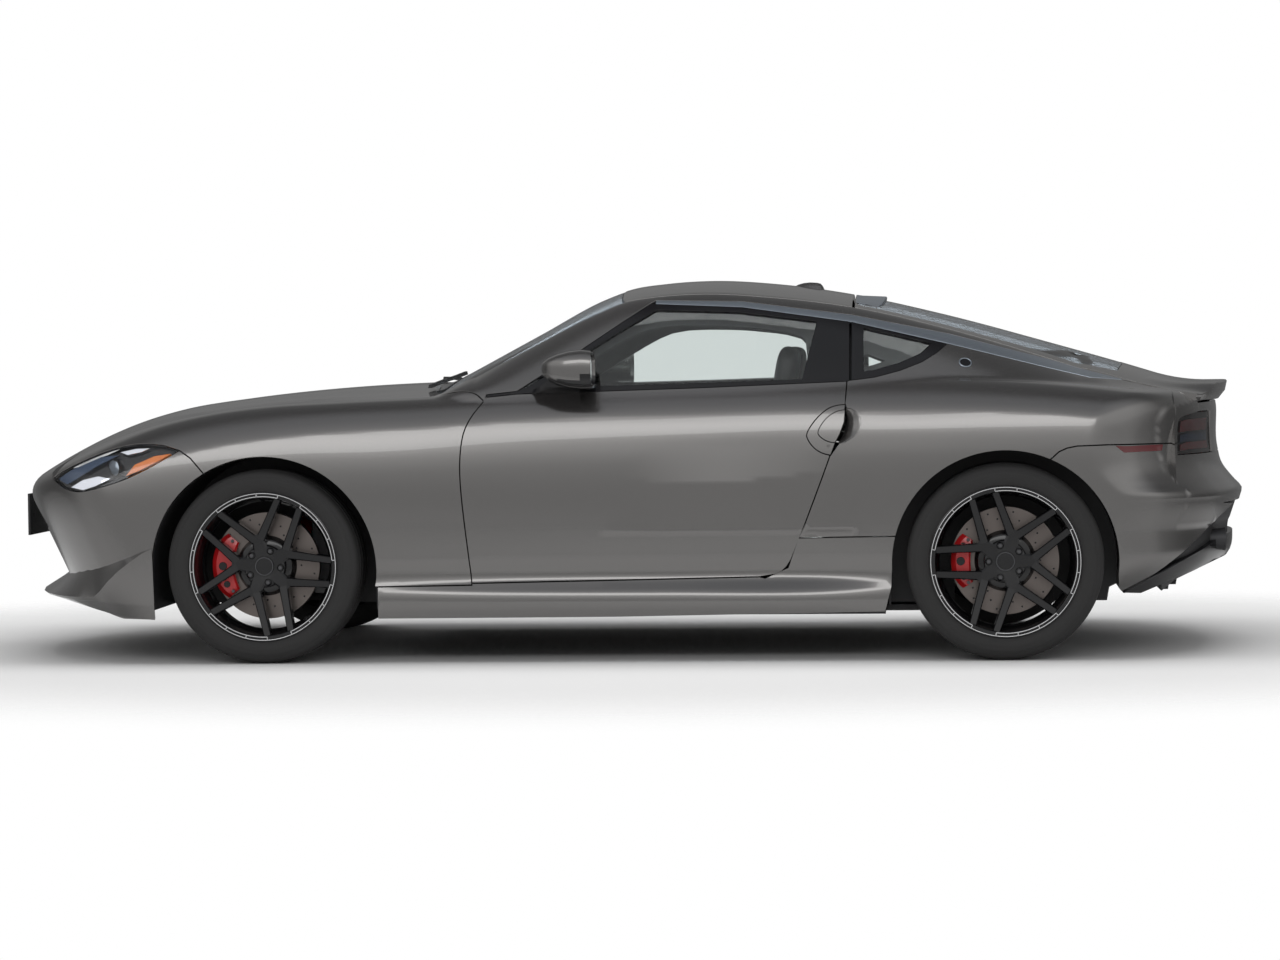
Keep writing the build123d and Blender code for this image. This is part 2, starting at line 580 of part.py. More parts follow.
# ---------------------------------------------------------------- wheels and brakes
RIM_RADIUS = 258.0  # flange
HUB_RADIUS = 80.0
SPOKE_COUNT = 5
LIP_INSET = 8.0  # rim's edges inside the tyre's sides
SPOKE_FACE = 12.0  # spokes' face inside the rim's outer edge
SPOKE_DEPTH = 34.0
DISC_RADIUS = 175.0
DISC_THICK = 28.0
DISC_INSET = 8.0  # disc's outer side, inboard of the track's middle
HAT_RADIUS = 78.0
SPINDLE_RADIUS = 28.0
# axle: x, half track, tyre width, stem angle of the first spoke
AXLES = {
    "front": (X_FRONT, TRACK_FRONT / 2, TYRE_WIDTH_FRONT, 31.0),
    "rear": (X_REAR, TRACK_REAR / 2, TYRE_WIDTH_REAR, 0.0),
}
# tyre's half profile: share of the half width, radius
TYRE_PROFILE = [(0.82, 240), (0.90, 262), (1.0, 290), (0.99, 308), (0.90, 326), (0.72, 334), (0.0, 335)]
# caliper on each axle: inner radius, outer radius, half angle about the nose side
CALIPERS = {"front": (98, 196, 44), "rear": (112, 196, 34)}


def wheel_plane(x, y_out):
    """Plane square to the axle on the left side, at y = -y_out, its normal outwards."""
    return Plane(origin=(x, -y_out, AXLE_Z), x_dir=(1, 0, 0), z_dir=(0, -1, 0))


def tyre(x, middle, width):
    half = width / 2
    with BuildPart() as ring:
        with BuildSketch(Plane(origin=(x, -middle, AXLE_Z), x_dir=(0, -1, 0), z_dir=(1, 0, 0))):
            with BuildLine():
                rising = [(share * half, radius) for share, radius in TYRE_PROFILE]
                falling = [(-a, r) for a, r in reversed(rising) if a]
                Polyline(*rising, *falling, close=True)
            make_face()
        revolve(axis=Axis((x, 0, AXLE_Z), (0, 1, 0)))
    return ring.part


def rim(x, middle, width, first_angle):
    lip = middle + width / 2 - LIP_INSET
    back = middle - width / 2 + LIP_INSET
    face = lip - SPOKE_FACE
    with BuildPart() as wheel:
        with BuildSketch(Plane(origin=(x, 0, AXLE_Z), x_dir=(0, -1, 0), z_dir=(1, 0, 0))):
            with BuildLine():
                Polyline((back, RIM_RADIUS), (back, 232), (back + 60, 214), (lip - 60, 222), (lip - 6, 234),
                         (lip, RIM_RADIUS), (lip - 6, RIM_RADIUS), (lip - 14, 239), (back + 14, 239),
                         (back + 6, RIM_RADIUS), close=True)
            make_face()
        revolve(axis=Axis((x, 0, AXLE_Z), (0, 1, 0)))
        with BuildSketch(wheel_plane(x, face - SPOKE_DEPTH)):
            Circle(HUB_RADIUS)
            for k in range(SPOKE_COUNT):
                stem = first_angle + k * 360 / SPOKE_COUNT
                with Locations(Location((0, 0, 0), (0, 0, stem))):
                    with Locations((82, 0)):
                        Rectangle(60, 44)
                for lean in (-1, 1):
                    fork = (101 * math.cos(math.radians(stem)), 101 * math.sin(math.radians(stem)))
                    end_at = math.radians(stem + lean * 25)
                    end = (224 * math.cos(end_at), 224 * math.sin(end_at))
                    length = math.dist(fork, end)
                    slope = math.degrees(math.atan2(end[1] - fork[1], end[0] - fork[0]))
                    centre = ((fork[0] + end[0]) / 2, (fork[1] + end[1]) / 2, 0)
                    with Locations(Location(centre, (0, 0, slope))):
                        Rectangle(length + 16, 30)
        extrude(amount=SPOKE_DEPTH)
        with BuildSketch(wheel_plane(x, middle + 22)):
            Circle(HUB_RADIUS)
        extrude(amount=face - SPOKE_DEPTH - middle - 20)
    return wheel.part


def brake_disc(x, middle):
    outer = middle - DISC_INSET
    with BuildPart() as disc:
        with BuildSketch(wheel_plane(x, outer - DISC_THICK)):
            Circle(DISC_RADIUS)
            Circle(SPINDLE_RADIUS + 4, mode=Mode.SUBTRACT)
        extrude(amount=DISC_THICK)
        with BuildSketch(wheel_plane(x, outer)):
            Circle(HAT_RADIUS)
            Circle(SPINDLE_RADIUS + 4, mode=Mode.SUBTRACT)
        extrude(amount=middle + 22 - outer)
    return disc.part


def caliper(x, middle, inner, outer, half_angle):
    """Caliper straddling the disc on its nose side."""
    face = middle - DISC_INSET
    with BuildPart() as clamp:
        with BuildSketch(wheel_plane(x, face - DISC_THICK - 26)):
            with BuildLine():
                a0 = math.radians(180 - half_angle)
                a1 = math.radians(180 + half_angle)
                inner_start = (inner * math.cos(a0), inner * math.sin(a0))
                inner_end = (inner * math.cos(a1), inner * math.sin(a1))
                outer_start = (outer * math.cos(a0), outer * math.sin(a0))
                outer_end = (outer * math.cos(a1), outer * math.sin(a1))
                ThreePointArc(inner_start, (-inner, 0), inner_end)
                Line(inner_end, outer_end)
                ThreePointArc(outer_end, (-outer, 0), outer_start)
                Line(outer_start, inner_start)
            make_face()
        extrude(amount=DISC_THICK + 26 + 34)
        with BuildSketch(wheel_plane(x, face - DISC_THICK - 5)):
            Circle(DISC_RADIUS + 6)
        extrude(amount=DISC_THICK + 10, mode=Mode.SUBTRACT)
    return clamp.part


def knuckle(x, middle):
    """Hub carrier: an upright block and the spindle that the disc and wheel turn on."""
    face = middle - DISC_INSET
    with BuildPart() as carrier:
        with Locations((x, -(face - DISC_THICK - 50), AXLE_Z + 20)):
            Box(80, 50, 270)
        with BuildSketch(wheel_plane(x, face - DISC_THICK - 30)):
            Circle(SPINDLE_RADIUS)
        extrude(amount=DISC_THICK + 30 + DISC_INSET + 12)
        with Locations((x - 70, -(face - DISC_THICK - 50), AXLE_Z)):
            Box(70, 40, 60)
    return carrier.part


for axle, (axle_x, middle, width, first_angle) in AXLES.items():
    pieces = {
        f"{axle}_tyre": tyre(axle_x, middle, width),
        f"{axle}_rim": rim(axle_x, middle, width, first_angle),
        f"{axle}_brake_disc": brake_disc(axle_x, middle),
    }
    for name, piece in pieces.items():
        write(f"{name}_left", piece)
        write(f"{name}_right", mirrored(piece))

FRONT_KNUCKLE = knuckle(X_FRONT, TRACK_FRONT / 2)
FRONT_CALIPER = caliper(X_FRONT, TRACK_FRONT / 2, *CALIPERS["front"])
write("front_knuckle_left", FRONT_KNUCKLE)
write("front_knuckle_right", mirrored(FRONT_KNUCKLE))
write("front_caliper_left", FRONT_CALIPER)
write("front_caliper_right", mirrored(FRONT_CALIPER))
write("rear_calipers", both_sides(caliper(X_REAR, TRACK_REAR / 2, *CALIPERS["rear"])))

# ---------------------------------------------------------------- running gear
with BuildPart() as front_subframe:
    with Locations((X_FRONT, 0, 222)):
        Box(190, 760, 56)
    for side in (-1, 1):
        with BuildSketch(Plane.XY.offset(190)):
            with BuildLine():
                Polyline((X_FRONT - 160, side * 340), (X_FRONT + 160, side * 340),
                         (X_FRONT + 38, side * 560), (X_FRONT + 38, side * 700),
                         (X_FRONT - 38, side * 700), (X_FRONT - 38, side * 560), close=True)
            make_face()
        extrude(amount=18)
    with Locations((X_FRONT, 0, 560)):
        Box(90, 930, 40)
    for side in (-1, 1):
        with Locations((X_FRONT, side * 400, 390)):
            Box(60, 60, 380)
write("front_subframe", front_subframe.part)

REAR_KNUCKLE = knuckle(X_REAR, TRACK_REAR / 2)
with BuildPart() as rear_suspension:
    with Locations((X_REAR, 0, 262)):
        Box(220, 900, 60)
    with Locations((X_REAR, 0, AXLE_Z + 20)):
        Box(200, 260, 180)
    for side in (-1, 1):
        with Locations((X_REAR, side * 575, 226)):
            Box(90, 300, 24)
    add(REAR_KNUCKLE)
    add(mirrored(REAR_KNUCKLE))
write("rear_suspension", rear_suspension.part)

with BuildPart() as engine:
    with Locations((X_FRONT + 20, 0, 640)):
        Box(620, 520, 120)
    with Locations((X_FRONT + 190, 0, 420)):
        Box(260, 420, 340)
write("engine", engine.part)

with BuildPart() as exhaust:
    with BuildSketch(Plane.XZ.offset(-TIP_Y - 60)):
        with Locations((1830, TIP_Z)):
            RectangleRounded(160, 110, 40)
    extrude(amount=2 * TIP_Y + 120)
    for side in (-1, 1):
        with BuildSketch(Plane.YZ.offset(1890)):
            with Locations((side * TIP_Y, TIP_Z)):
                Circle(TIP_RADIUS)
        extrude(amount=278)
        with BuildSketch(Plane.YZ.offset(2000)):
            with Locations((side * TIP_Y, TIP_Z)):
                Circle(TIP_RADIUS - 4)
        extrude(amount=200, mode=Mode.SUBTRACT)
write("exhaust", exhaust.part)

# ---------------------------------------------------------------- cabin
SEAT_WIDTH = 500.0
SEAT_Y = 370.0
SEAT_PROFILE = [(-60, 250), (-60, 360), (380, 330), (520, 900), (560, 1080), (640, 1080), (640, 900),
                (520, 290), (500, 240)]
REAR_SEAT_PROFILE = [(760, 300), (760, 420), (960, 400), (1010, 860), (1064, 860), (1050, 300)]
with BuildPart() as seats:
    for side in (-1, 1):
        with BuildSketch(Plane.XZ.offset(side * SEAT_Y - SEAT_WIDTH / 2)):
            with BuildLine():
                Polyline(*SEAT_PROFILE, close=True)
            make_face()
        extrude(amount=SEAT_WIDTH)
        with BuildSketch(Plane.XZ.offset(side * 340 - 200)):
            with BuildLine():
                Polyline(*REAR_SEAT_PROFILE, close=True)
            make_face()
        extrude(amount=400)
write("seats", seats.part)

DASH_HALF = 640.0
with BuildPart() as dashboard:
    with BuildSketch(Plane.XZ.offset(-DASH_HALF)):
        with BuildLine():
            Polyline((-600, 640), (-600, 850), (-480, 905), (-330, 900), (-250, 850), (-250, 720),
                     (-330, 620), close=True)
        make_face()
    extrude(amount=2 * DASH_HALF)
    with BuildSketch(Plane.XZ.offset(-105)):
        with BuildLine():
            Polyline((-400, 352), (-400, 700), (-260, 700), (-150, 520), (480, 500), (480, 352), close=True)
        make_face()
    extrude(amount=210)
write("dashboard", dashboard.part)

WHEEL_CENTRE = (-120.0, -370.0, 800.0)
with BuildPart() as steering_wheel:
    with BuildSketch(Plane(origin=WHEEL_CENTRE, x_dir=(0, 1, 0), z_dir=(0.92, 0, 0.39))):
        Circle(185)
        Circle(155, mode=Mode.SUBTRACT)
        Circle(62)
        Rectangle(330, 40)
    extrude(amount=26)
    with BuildSketch(Plane(origin=WHEEL_CENTRE, x_dir=(0, 1, 0), z_dir=(0.92, 0, 0.39))):
        Circle(34)
    extrude(amount=-150)
    add(dashboard.part, mode=Mode.SUBTRACT)
write("steering_wheel", steering_wheel.part)
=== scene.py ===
"""Looks of the two-door fastback coupe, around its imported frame.

Metres, +Z up, nose towards -X, left side at -Y.
"""

import math

import bmesh
import bpy
import numpy as np
from mathutils import Matrix, Vector
from mathutils.geometry import delaunay_2d_cdt


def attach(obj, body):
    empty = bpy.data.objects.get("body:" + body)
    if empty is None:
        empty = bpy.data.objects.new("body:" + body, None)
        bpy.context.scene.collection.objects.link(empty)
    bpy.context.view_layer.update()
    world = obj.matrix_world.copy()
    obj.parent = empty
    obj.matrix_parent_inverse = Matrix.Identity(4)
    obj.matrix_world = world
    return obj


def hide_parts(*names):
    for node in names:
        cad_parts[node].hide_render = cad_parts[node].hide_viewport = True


bl_info = {
    "name": "Fastback Coupe",
    "version": (1, 0, 0),
    "blender": (4, 5, 0),
    "location": "View3D > Sidebar > Coupe",
    "description": "Builds the skin, wheels, glass, lamps and cabin of a fastback coupe around its frame",
    "category": "Object",
}

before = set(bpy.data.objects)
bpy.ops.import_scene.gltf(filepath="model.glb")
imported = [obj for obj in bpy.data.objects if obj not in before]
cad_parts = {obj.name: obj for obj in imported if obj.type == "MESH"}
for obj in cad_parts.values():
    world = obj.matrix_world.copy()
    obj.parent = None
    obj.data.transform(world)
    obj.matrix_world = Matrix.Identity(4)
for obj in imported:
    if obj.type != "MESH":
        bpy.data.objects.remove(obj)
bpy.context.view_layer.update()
LEFT, RIGHT = -1, 1
SIDES = {"left": LEFT, "right": RIGHT}

# ---------------------------------------------------------------- form tables, metres
# Half width of the lower body. Columns: x, then the half width at each height of SIDE_HEIGHTS
SIDE_HEIGHTS = (0.13, 0.235, 0.285, 0.36, 0.47, 0.60, 0.73, 0.82, 0.88, 0.95)
SIDE_TABLE = [
    (-2.26, 0.770, 0.788, 0.797, 0.808, 0.822, 0.815, 0.785, 0.750, 0.720, 0.690),
    (-1.96, 0.815, 0.832, 0.840, 0.850, 0.862, 0.866, 0.832, 0.795, 0.760, 0.730),
    (-1.60, 0.858, 0.868, 0.873, 0.880, 0.889, 0.894, 0.874, 0.842, 0.812, 0.780),
    (-1.212, 0.868, 0.877, 0.881, 0.888, 0.899, 0.906, 0.894, 0.871, 0.848, 0.815),
    (-0.80, 0.868, 0.882, 0.869, 0.876, 0.888, 0.899, 0.889, 0.868, 0.847, 0.815),
    (-0.45, 0.872, 0.886, 0.864, 0.872, 0.884, 0.894, 0.886, 0.868, 0.848, 0.813),
    (0.20, 0.874, 0.888, 0.860, 0.868, 0.881, 0.890, 0.884, 0.869, 0.850, 0.815),
    (0.68, 0.876, 0.890, 0.860, 0.868, 0.881, 0.890, 0.886, 0.873, 0.855, 0.818),
    (1.00, 0.874, 0.884, 0.876, 0.886, 0.897, 0.904, 0.901, 0.888, 0.869, 0.830),
    (1.338, 0.872, 0.881, 0.886, 0.894, 0.907, 0.918, 0.918, 0.906, 0.888, 0.850),
    (1.74, 0.850, 0.860, 0.866, 0.876, 0.890, 0.902, 0.902, 0.889, 0.870, 0.826),
    (2.00, 0.820, 0.832, 0.839, 0.850, 0.866, 0.878, 0.874, 0.855, 0.830, 0.780),
    (2.26, 0.780, 0.793, 0.800, 0.810, 0.824, 0.834, 0.822, 0.797, 0.770, 0.720),
]
# Height of the hood and deck. Columns: x, then the height at each half width of TOP_WIDTHS
TOP_WIDTHS = (0.0, 0.30, 0.52, 0.66, 0.76, 0.88)
TOP_TABLE = [
    (-2.30, 0.490, 0.484, 0.468, 0.450, 0.436, 0.41),
    (-2.195, 0.588, 0.580, 0.562, 0.544, 0.528, 0.50),
    (-2.10, 0.660, 0.651, 0.630, 0.610, 0.592, 0.56),
    (-1.96, 0.745, 0.736, 0.713, 0.690, 0.670, 0.63),
    (-1.80, 0.818, 0.810, 0.784, 0.764, 0.745, 0.70),
    (-1.60, 0.878, 0.870, 0.846, 0.832, 0.818, 0.77),
    (-1.40, 0.908, 0.900, 0.876, 0.870, 0.862, 0.82),
    (-1.20, 0.930, 0.922, 0.898, 0.893, 0.886, 0.85),
    (-0.98, 0.947, 0.939, 0.914, 0.904, 0.897, 0.87),
    (-0.67, 0.960, 0.953, 0.932, 0.918, 0.908, 0.885),
    (-0.30, 0.962, 0.958, 0.944, 0.932, 0.925, 0.91),
    (0.30, 0.964, 0.962, 0.954, 0.948, 0.944, 0.925),
    (0.80, 0.968, 0.966, 0.962, 0.962, 0.958, 0.93),
    (1.20, 0.966, 0.966, 0.966, 0.964, 0.958, 0.93),
    (1.74, 0.935, 0.934, 0.930, 0.922, 0.912, 0.88),
    (2.02, 0.906, 0.905, 0.898, 0.884, 0.868, 0.83),
    (2.30, 0.870, 0.868, 0.856, 0.836, 0.812, 0.77),
]
# Lean of the nose and the tail on the centre plane: height, x
NOSE_TABLE = [(0.05, -1.96), (0.15, -2.005), (0.273, -2.062), (0.42, -2.128), (0.575, -2.197), (0.66, -2.225),
              (0.90, -2.26)]
TAIL_TABLE = [(0.05, 1.90), (0.22, 2.02), (0.32, 2.150), (0.435, 2.172), (0.525, 2.200), (0.553, 2.206),
              (0.585, 2.178), (0.64, 2.136), (0.70, 2.120), (0.86, 2.116), (1.0, 2.10)]
# Glasshouse. Columns: x, half width at the belt, rail half width, rail height, centre height
CABIN_TABLE = [
    (-0.90, 0.792, 0.752, 0.800, 0.800),
    (-0.76, 0.794, 0.742, 0.850, 0.892),
    (-0.534, 0.797, 0.712, 0.958, 1.013),
    (-0.303, 0.800, 0.674, 1.076, 1.137),
    (-0.08, 0.802, 0.640, 1.183, 1.256),
    (0.02, 0.803, 0.628, 1.222, 1.291),
    (0.14, 0.804, 0.618, 1.243, 1.308),
    (0.30, 0.804, 0.612, 1.252, 1.317),
    (0.55, 0.802, 0.612, 1.234, 1.302),
    (0.83, 0.798, 0.614, 1.195, 1.260),
    (1.138, 0.785, 0.616, 1.118, 1.189),
    (1.528, 0.750, 0.600, 1.002, 1.080),
    (1.76, 0.722, 0.575, 0.938, 1.012),
    (2.00, 0.690, 0.548, 0.872, 0.938),
    (2.30, 0.650, 0.512, 0.790, 0.852),
]
BELT = 0.93
SHOULDER_BLEND = 0.085
END_BLEND = 0.07
RAIL_BLEND = 0.075
COWL_BLEND = 0.012
# How the nose and tail fall back from the centre plane: all along, more past a half width, the tail's share
END_CURVE, CORNER_CURVE, CORNER_START, TAIL_CURVE = 0.36, 0.9, 0.56, 1.05
CAST_REACH = 1.4  # further than any skin point from the line that rays start on
PANEL_GAP = 0.0045
ARC_STEP = 4  # degrees
# Shares of a mesh's spacing: two points nearer than the first are one, and no point is nearer than the second
# to a border
SAME_POINT, BORDER_FREE = 0.12, 0.45
ROUND_EDGE = 0.0012  # the round along a panel's border
THIN_PANEL, COARSER = 0.01, 1.6  # above that thickness a panel's inner skin has faces so much larger

AXLE = {"front": -1.212, "rear": 1.338}
WHEEL_RADIUS = 0.335
ARCH_RADIUS = {"front": 0.390, "rear": 0.383}
ARCH_HEIGHT = {"front": 0.323, "rear": 0.329}


# ---------------------------------------------------------------- the form
def hermite(knots, values, at):
    """Smooth curve through values at the knots. values is (K,) or (N, K), at is (N,)."""
    knots = np.asarray(knots, float)
    values = np.asarray(values, float)
    if values.ndim == 1:
        values = np.broadcast_to(values, (len(at), len(values)))
    step = np.diff(knots)
    rise = np.diff(values, axis=1) / step
    inner = (rise[:, :-1] * step[1:] + rise[:, 1:] * step[:-1]) / (step[1:] + step[:-1])
    slope = np.concatenate([rise[:, :1], inner, rise[:, -1:]], axis=1)
    k = np.clip(np.searchsorted(knots, at) - 1, 0, len(knots) - 2)
    row = np.arange(len(at))
    h = step[k]
    t = np.clip((at - knots[k]) / h, -0.5, 1.5)
    a, b = values[row, k], values[row, k + 1]
    ma, mb = slope[row, k] * h, slope[row, k + 1] * h
    near, far = (2 * t**3 - 3 * t**2 + 1) * a, (3 * t**2 - 2 * t**3) * b
    return near + (t**3 - 2 * t**2 + t) * ma + far + (t**3 - t**2) * mb


class Table:
    """Rows by x; every column is a smooth curve along x."""

    def __init__(self, rows, across=None):
        self.x = np.array([row[0] for row in rows])
        self.columns = np.array([row[1:] for row in rows])
        self.across = across

    def at(self, x):
        return np.stack([hermite(self.x, column, x) for column in self.columns.T], axis=1)

    def over(self, x, across):
        low, high = self.across[0], self.across[-1]
        return hermite(self.across, self.at(x), np.clip(across, low, high))


SIDE, TOP, CABIN = Table(SIDE_TABLE, SIDE_HEIGHTS), Table(TOP_TABLE, TOP_WIDTHS), Table(CABIN_TABLE)
NOSE, TAIL = Table(NOSE_TABLE), Table(TAIL_TABLE)


def smooth_max(a, b, blend):
    near = np.maximum(blend - np.abs(a - b), 0) / blend
    return np.maximum(a, b) + near**2 * blend / 4


def fall_back(a):
    """How far the nose and tail lie back from the centre plane."""
    return END_CURVE * a**2 + CORNER_CURVE * np.maximum(a - CORNER_START, 0) ** 2


def lower_body(x, a, z):
    side = a - SIDE.over(x, z)
    top = z - TOP.over(x, a)
    nose = NOSE.at(z)[:, 0] + fall_back(a) - x
    tail = x - TAIL.at(z)[:, 0] + fall_back(a) * TAIL_CURVE
    hull = smooth_max(side, top, SHOULDER_BLEND)
    return smooth_max(smooth_max(hull, nose, END_BLEND), tail, END_BLEND)


def glasshouse(x, a, z):
    foot, rail, rail_z, centre = CABIN.at(x).T
    t = np.clip((z - BELT) / np.maximum(rail_z - BELT, 0.05), -1, 2)
    side = a - (foot + (rail - foot) * t + 0.05 * t * (1 - t))
    crown = (centre - rail_z) * (a / rail) ** 2
    top = z - (centre - crown)
    ends = np.maximum(-1.0 - x, x - TAIL.at(z)[:, 0] + fall_back(a) * TAIL_CURVE)
    return np.maximum(smooth_max(side, top, RAIL_BLEND), np.maximum(ends, 0.45 - z))


def form(p):
    """Below zero inside the car's outer skin, above zero outside."""
    x, a, z = p[:, 0], np.abs(p[:, 1]), p[:, 2]
    body, house = lower_body(x, a, z), glasshouse(x, a, z)
    return -smooth_max(-body, -house, COWL_BLEND)


def gradient(p):
    """Which way is out of the form at each point."""
    step = 0.0015
    parts = []
    for axis in np.eye(3) * step:
        parts.append(form(p + axis) - form(p - axis))
    g = np.stack(parts, axis=1)
    return g / np.linalg.norm(g, axis=1, keepdims=True)


def cast(start, direction):
    """Where rays from inside leave the form."""
    low, high = np.zeros(len(start)), np.full(len(start), CAST_REACH)
    for _ in range(15):
        middle = (low + high) / 2
        inside = form(start + direction * middle[:, None]) < 0
        low, high = np.where(inside, middle, low), np.where(inside, high, middle)
    before, after = form(start + direction * low[:, None]), form(start + direction * high[:, None])
    share = np.clip(before / np.minimum(before - after, -1e-12), 0, 1)
    return start + direction * (low + (high - low) * share)[:, None]


class Ring:
    """Chart of the skin by x and by the angle round the car's middle line: 0 is out to the left, 90 is up."""

    HUB = 0.42
    SCALE = 0.85

    def points(self, uv):
        angle = uv[:, 1] / self.SCALE
        direction = np.stack([np.zeros(len(uv)), -np.cos(angle), np.sin(angle)], axis=1)
        start = np.stack([uv[:, 0], np.zeros(len(uv)), np.full(len(uv), self.HUB)], axis=1)
        return cast(start, direction)

    def place(self, p):
        return np.stack([p[:, 0], np.arctan2(p[:, 2] - self.HUB, -p[:, 1]) * self.SCALE], axis=1)

    def other_side(self, q):
        return q[0], math.pi * self.SCALE - q[1]


class Wrap:
    """Chart of an end by the angle round an upright line and by height: 0 is straight ahead."""

    SCALE = 0.75

    def __init__(self, hub, face):
        self.hub, self.face = hub, face

    def points(self, uv):
        angle = uv[:, 0] / self.SCALE
        direction = np.stack([self.face * np.cos(angle), -np.sin(angle), np.zeros(len(uv))], axis=1)
        start = np.stack([np.full(len(uv), self.hub), np.zeros(len(uv)), uv[:, 1]], axis=1)
        return cast(start, direction)

    def place(self, p):
        ahead = self.face * (p[:, 0] - self.hub)
        return np.stack([np.arctan2(-p[:, 1], ahead) * self.SCALE, p[:, 2]], axis=1)

    def other_side(self, q):
        return -q[0], q[1]


class Ball:
    """Chart of a left-hand corner by the directions from a point inside: 0, 0 is straight out to the left."""

    SCALE = 0.32

    def __init__(self, hub):
        self.centre = np.array(hub)

    def points(self, uv):
        turn, rise = uv[:, 0] / self.SCALE, uv[:, 1] / self.SCALE
        direction = np.stack([np.cos(rise) * np.sin(turn), -np.cos(rise) * np.cos(turn), np.sin(rise)],
                             axis=1)
        return cast(np.tile(self.centre, (len(uv), 1)), direction)

    def place(self, p):
        d = p - self.centre
        return np.stack([np.arctan2(d[:, 0], -d[:, 1]), np.arcsin(d[:, 2] / np.linalg.norm(d, axis=1))],
                        axis=1) * self.SCALE


REAR_HUB = 1.62


def on_skin(kind, flat, hub=REAR_HUB, face=1):
    """Left-hand skin points of side (x, z), plan (x, half width) or end (half width, z) view points."""
    zero, one = np.zeros(len(flat)), np.ones(len(flat))
    if kind == "side":
        return cast(np.stack([flat[:, 0], zero, flat[:, 1]], axis=1), np.stack([zero, -one, zero], axis=1))
    if kind == "plan":
        return cast(np.stack([flat[:, 0], -flat[:, 1], one * Ring.HUB], axis=1),
                    np.stack([zero, zero, one], axis=1))
    return cast(np.stack([one * hub, -flat[:, 0], flat[:, 1]], axis=1),
                np.stack([one * face, zero, zero], axis=1))


RING = Ring()
FRONT_WRAP = Wrap(-1.50, -1)
REAR_WRAP = Wrap(REAR_HUB, 1)
TAIL_BALL = Ball((1.80, -0.42, 0.70))


def skin_point(kind, first, second):
    """One left-hand skin point, as on_skin gives it."""
    return on_skin(kind, np.array([(first, second)]))[0]


def facing(direction):
    """The turn that points a left wheel's outer face along a direction."""
    return Vector((0, -1, 0)).rotation_difference(Vector(direction)).to_matrix().to_4x4()


def arc(centre, radius, start, end):
    """Points of an arc between two angles in degrees."""
    count = max(2, int(abs(end - start) / ARC_STEP))
    angles = np.radians(np.linspace(start, end, count + 1))
    return [(centre[0] + radius * math.cos(t), centre[1] + radius * math.sin(t)) for t in angles]


def resample(points, spacing):
    """The open line with no step longer than spacing."""
    out = []
    for (x0, y0), (x1, y1) in zip(points, points[1:]):
        count = max(1, math.ceil(math.hypot(x1 - x0, y1 - y0) / spacing))
        out += [(x0 + (x1 - x0) * k / count, y0 + (y1 - y0) * k / count) for k in range(count)]
    return [*out, points[-1]]


def drawn(chart, stretches, spacing):
    """Chart points of stretches (view, points): each is an open line in its own view, and they follow on."""
    hub, face = getattr(chart, "hub", REAR_HUB), getattr(chart, "face", 1)
    line = []
    for kind, points in stretches:
        flat = np.array(resample(points, spacing))
        line += [tuple(q) for q in chart.place(on_skin(kind, flat, hub, face))]
    return line


def thinned(loop, spacing):
    """The loop without its points that lie on the next one."""
    return [q for q, r in zip(loop, loop[1:] + loop[:1]) if math.dist(q, r) > spacing * SAME_POINT]


def chart_loop(chart, stretches, spacing):
    """A closed chart outline on the left side."""
    return thinned(drawn(chart, stretches, spacing), spacing)


def whole_loop(chart, stretches, spacing):
    """A loop across the car from the stretches of its left half, which start and end on the centre plane."""
    left = drawn(chart, stretches, spacing)
    return thinned(left + [chart.other_side(q) for q in reversed(left)], spacing)


def in_loop(points, loop):
    """Which points lie inside the loop."""
    px, py = points[:, 0], points[:, 1]
    inside = np.zeros(len(points), bool)
    for (x0, y0), (x1, y1) in zip(loop, loop[1:] + loop[:1]):
        crosses = (y0 > py) != (y1 > py)
        with np.errstate(divide="ignore", invalid="ignore"):
            at = (x1 - x0) * (py - y0) / (y1 - y0) + x0
        inside ^= crosses & (px < at)
    return inside


def loop_distance(points, loop):
    best = np.full(len(points), 1e9)
    for (x0, y0), (x1, y1) in zip(loop, loop[1:] + loop[:1]):
        d = np.array([x1 - x0, y1 - y0])
        t = np.clip(((points - (x0, y0)) @ d) / max(d @ d, 1e-12), 0, 1)
        best = np.minimum(best, np.linalg.norm(points - (x0, y0) - t[:, None] * d, axis=1))
    return best


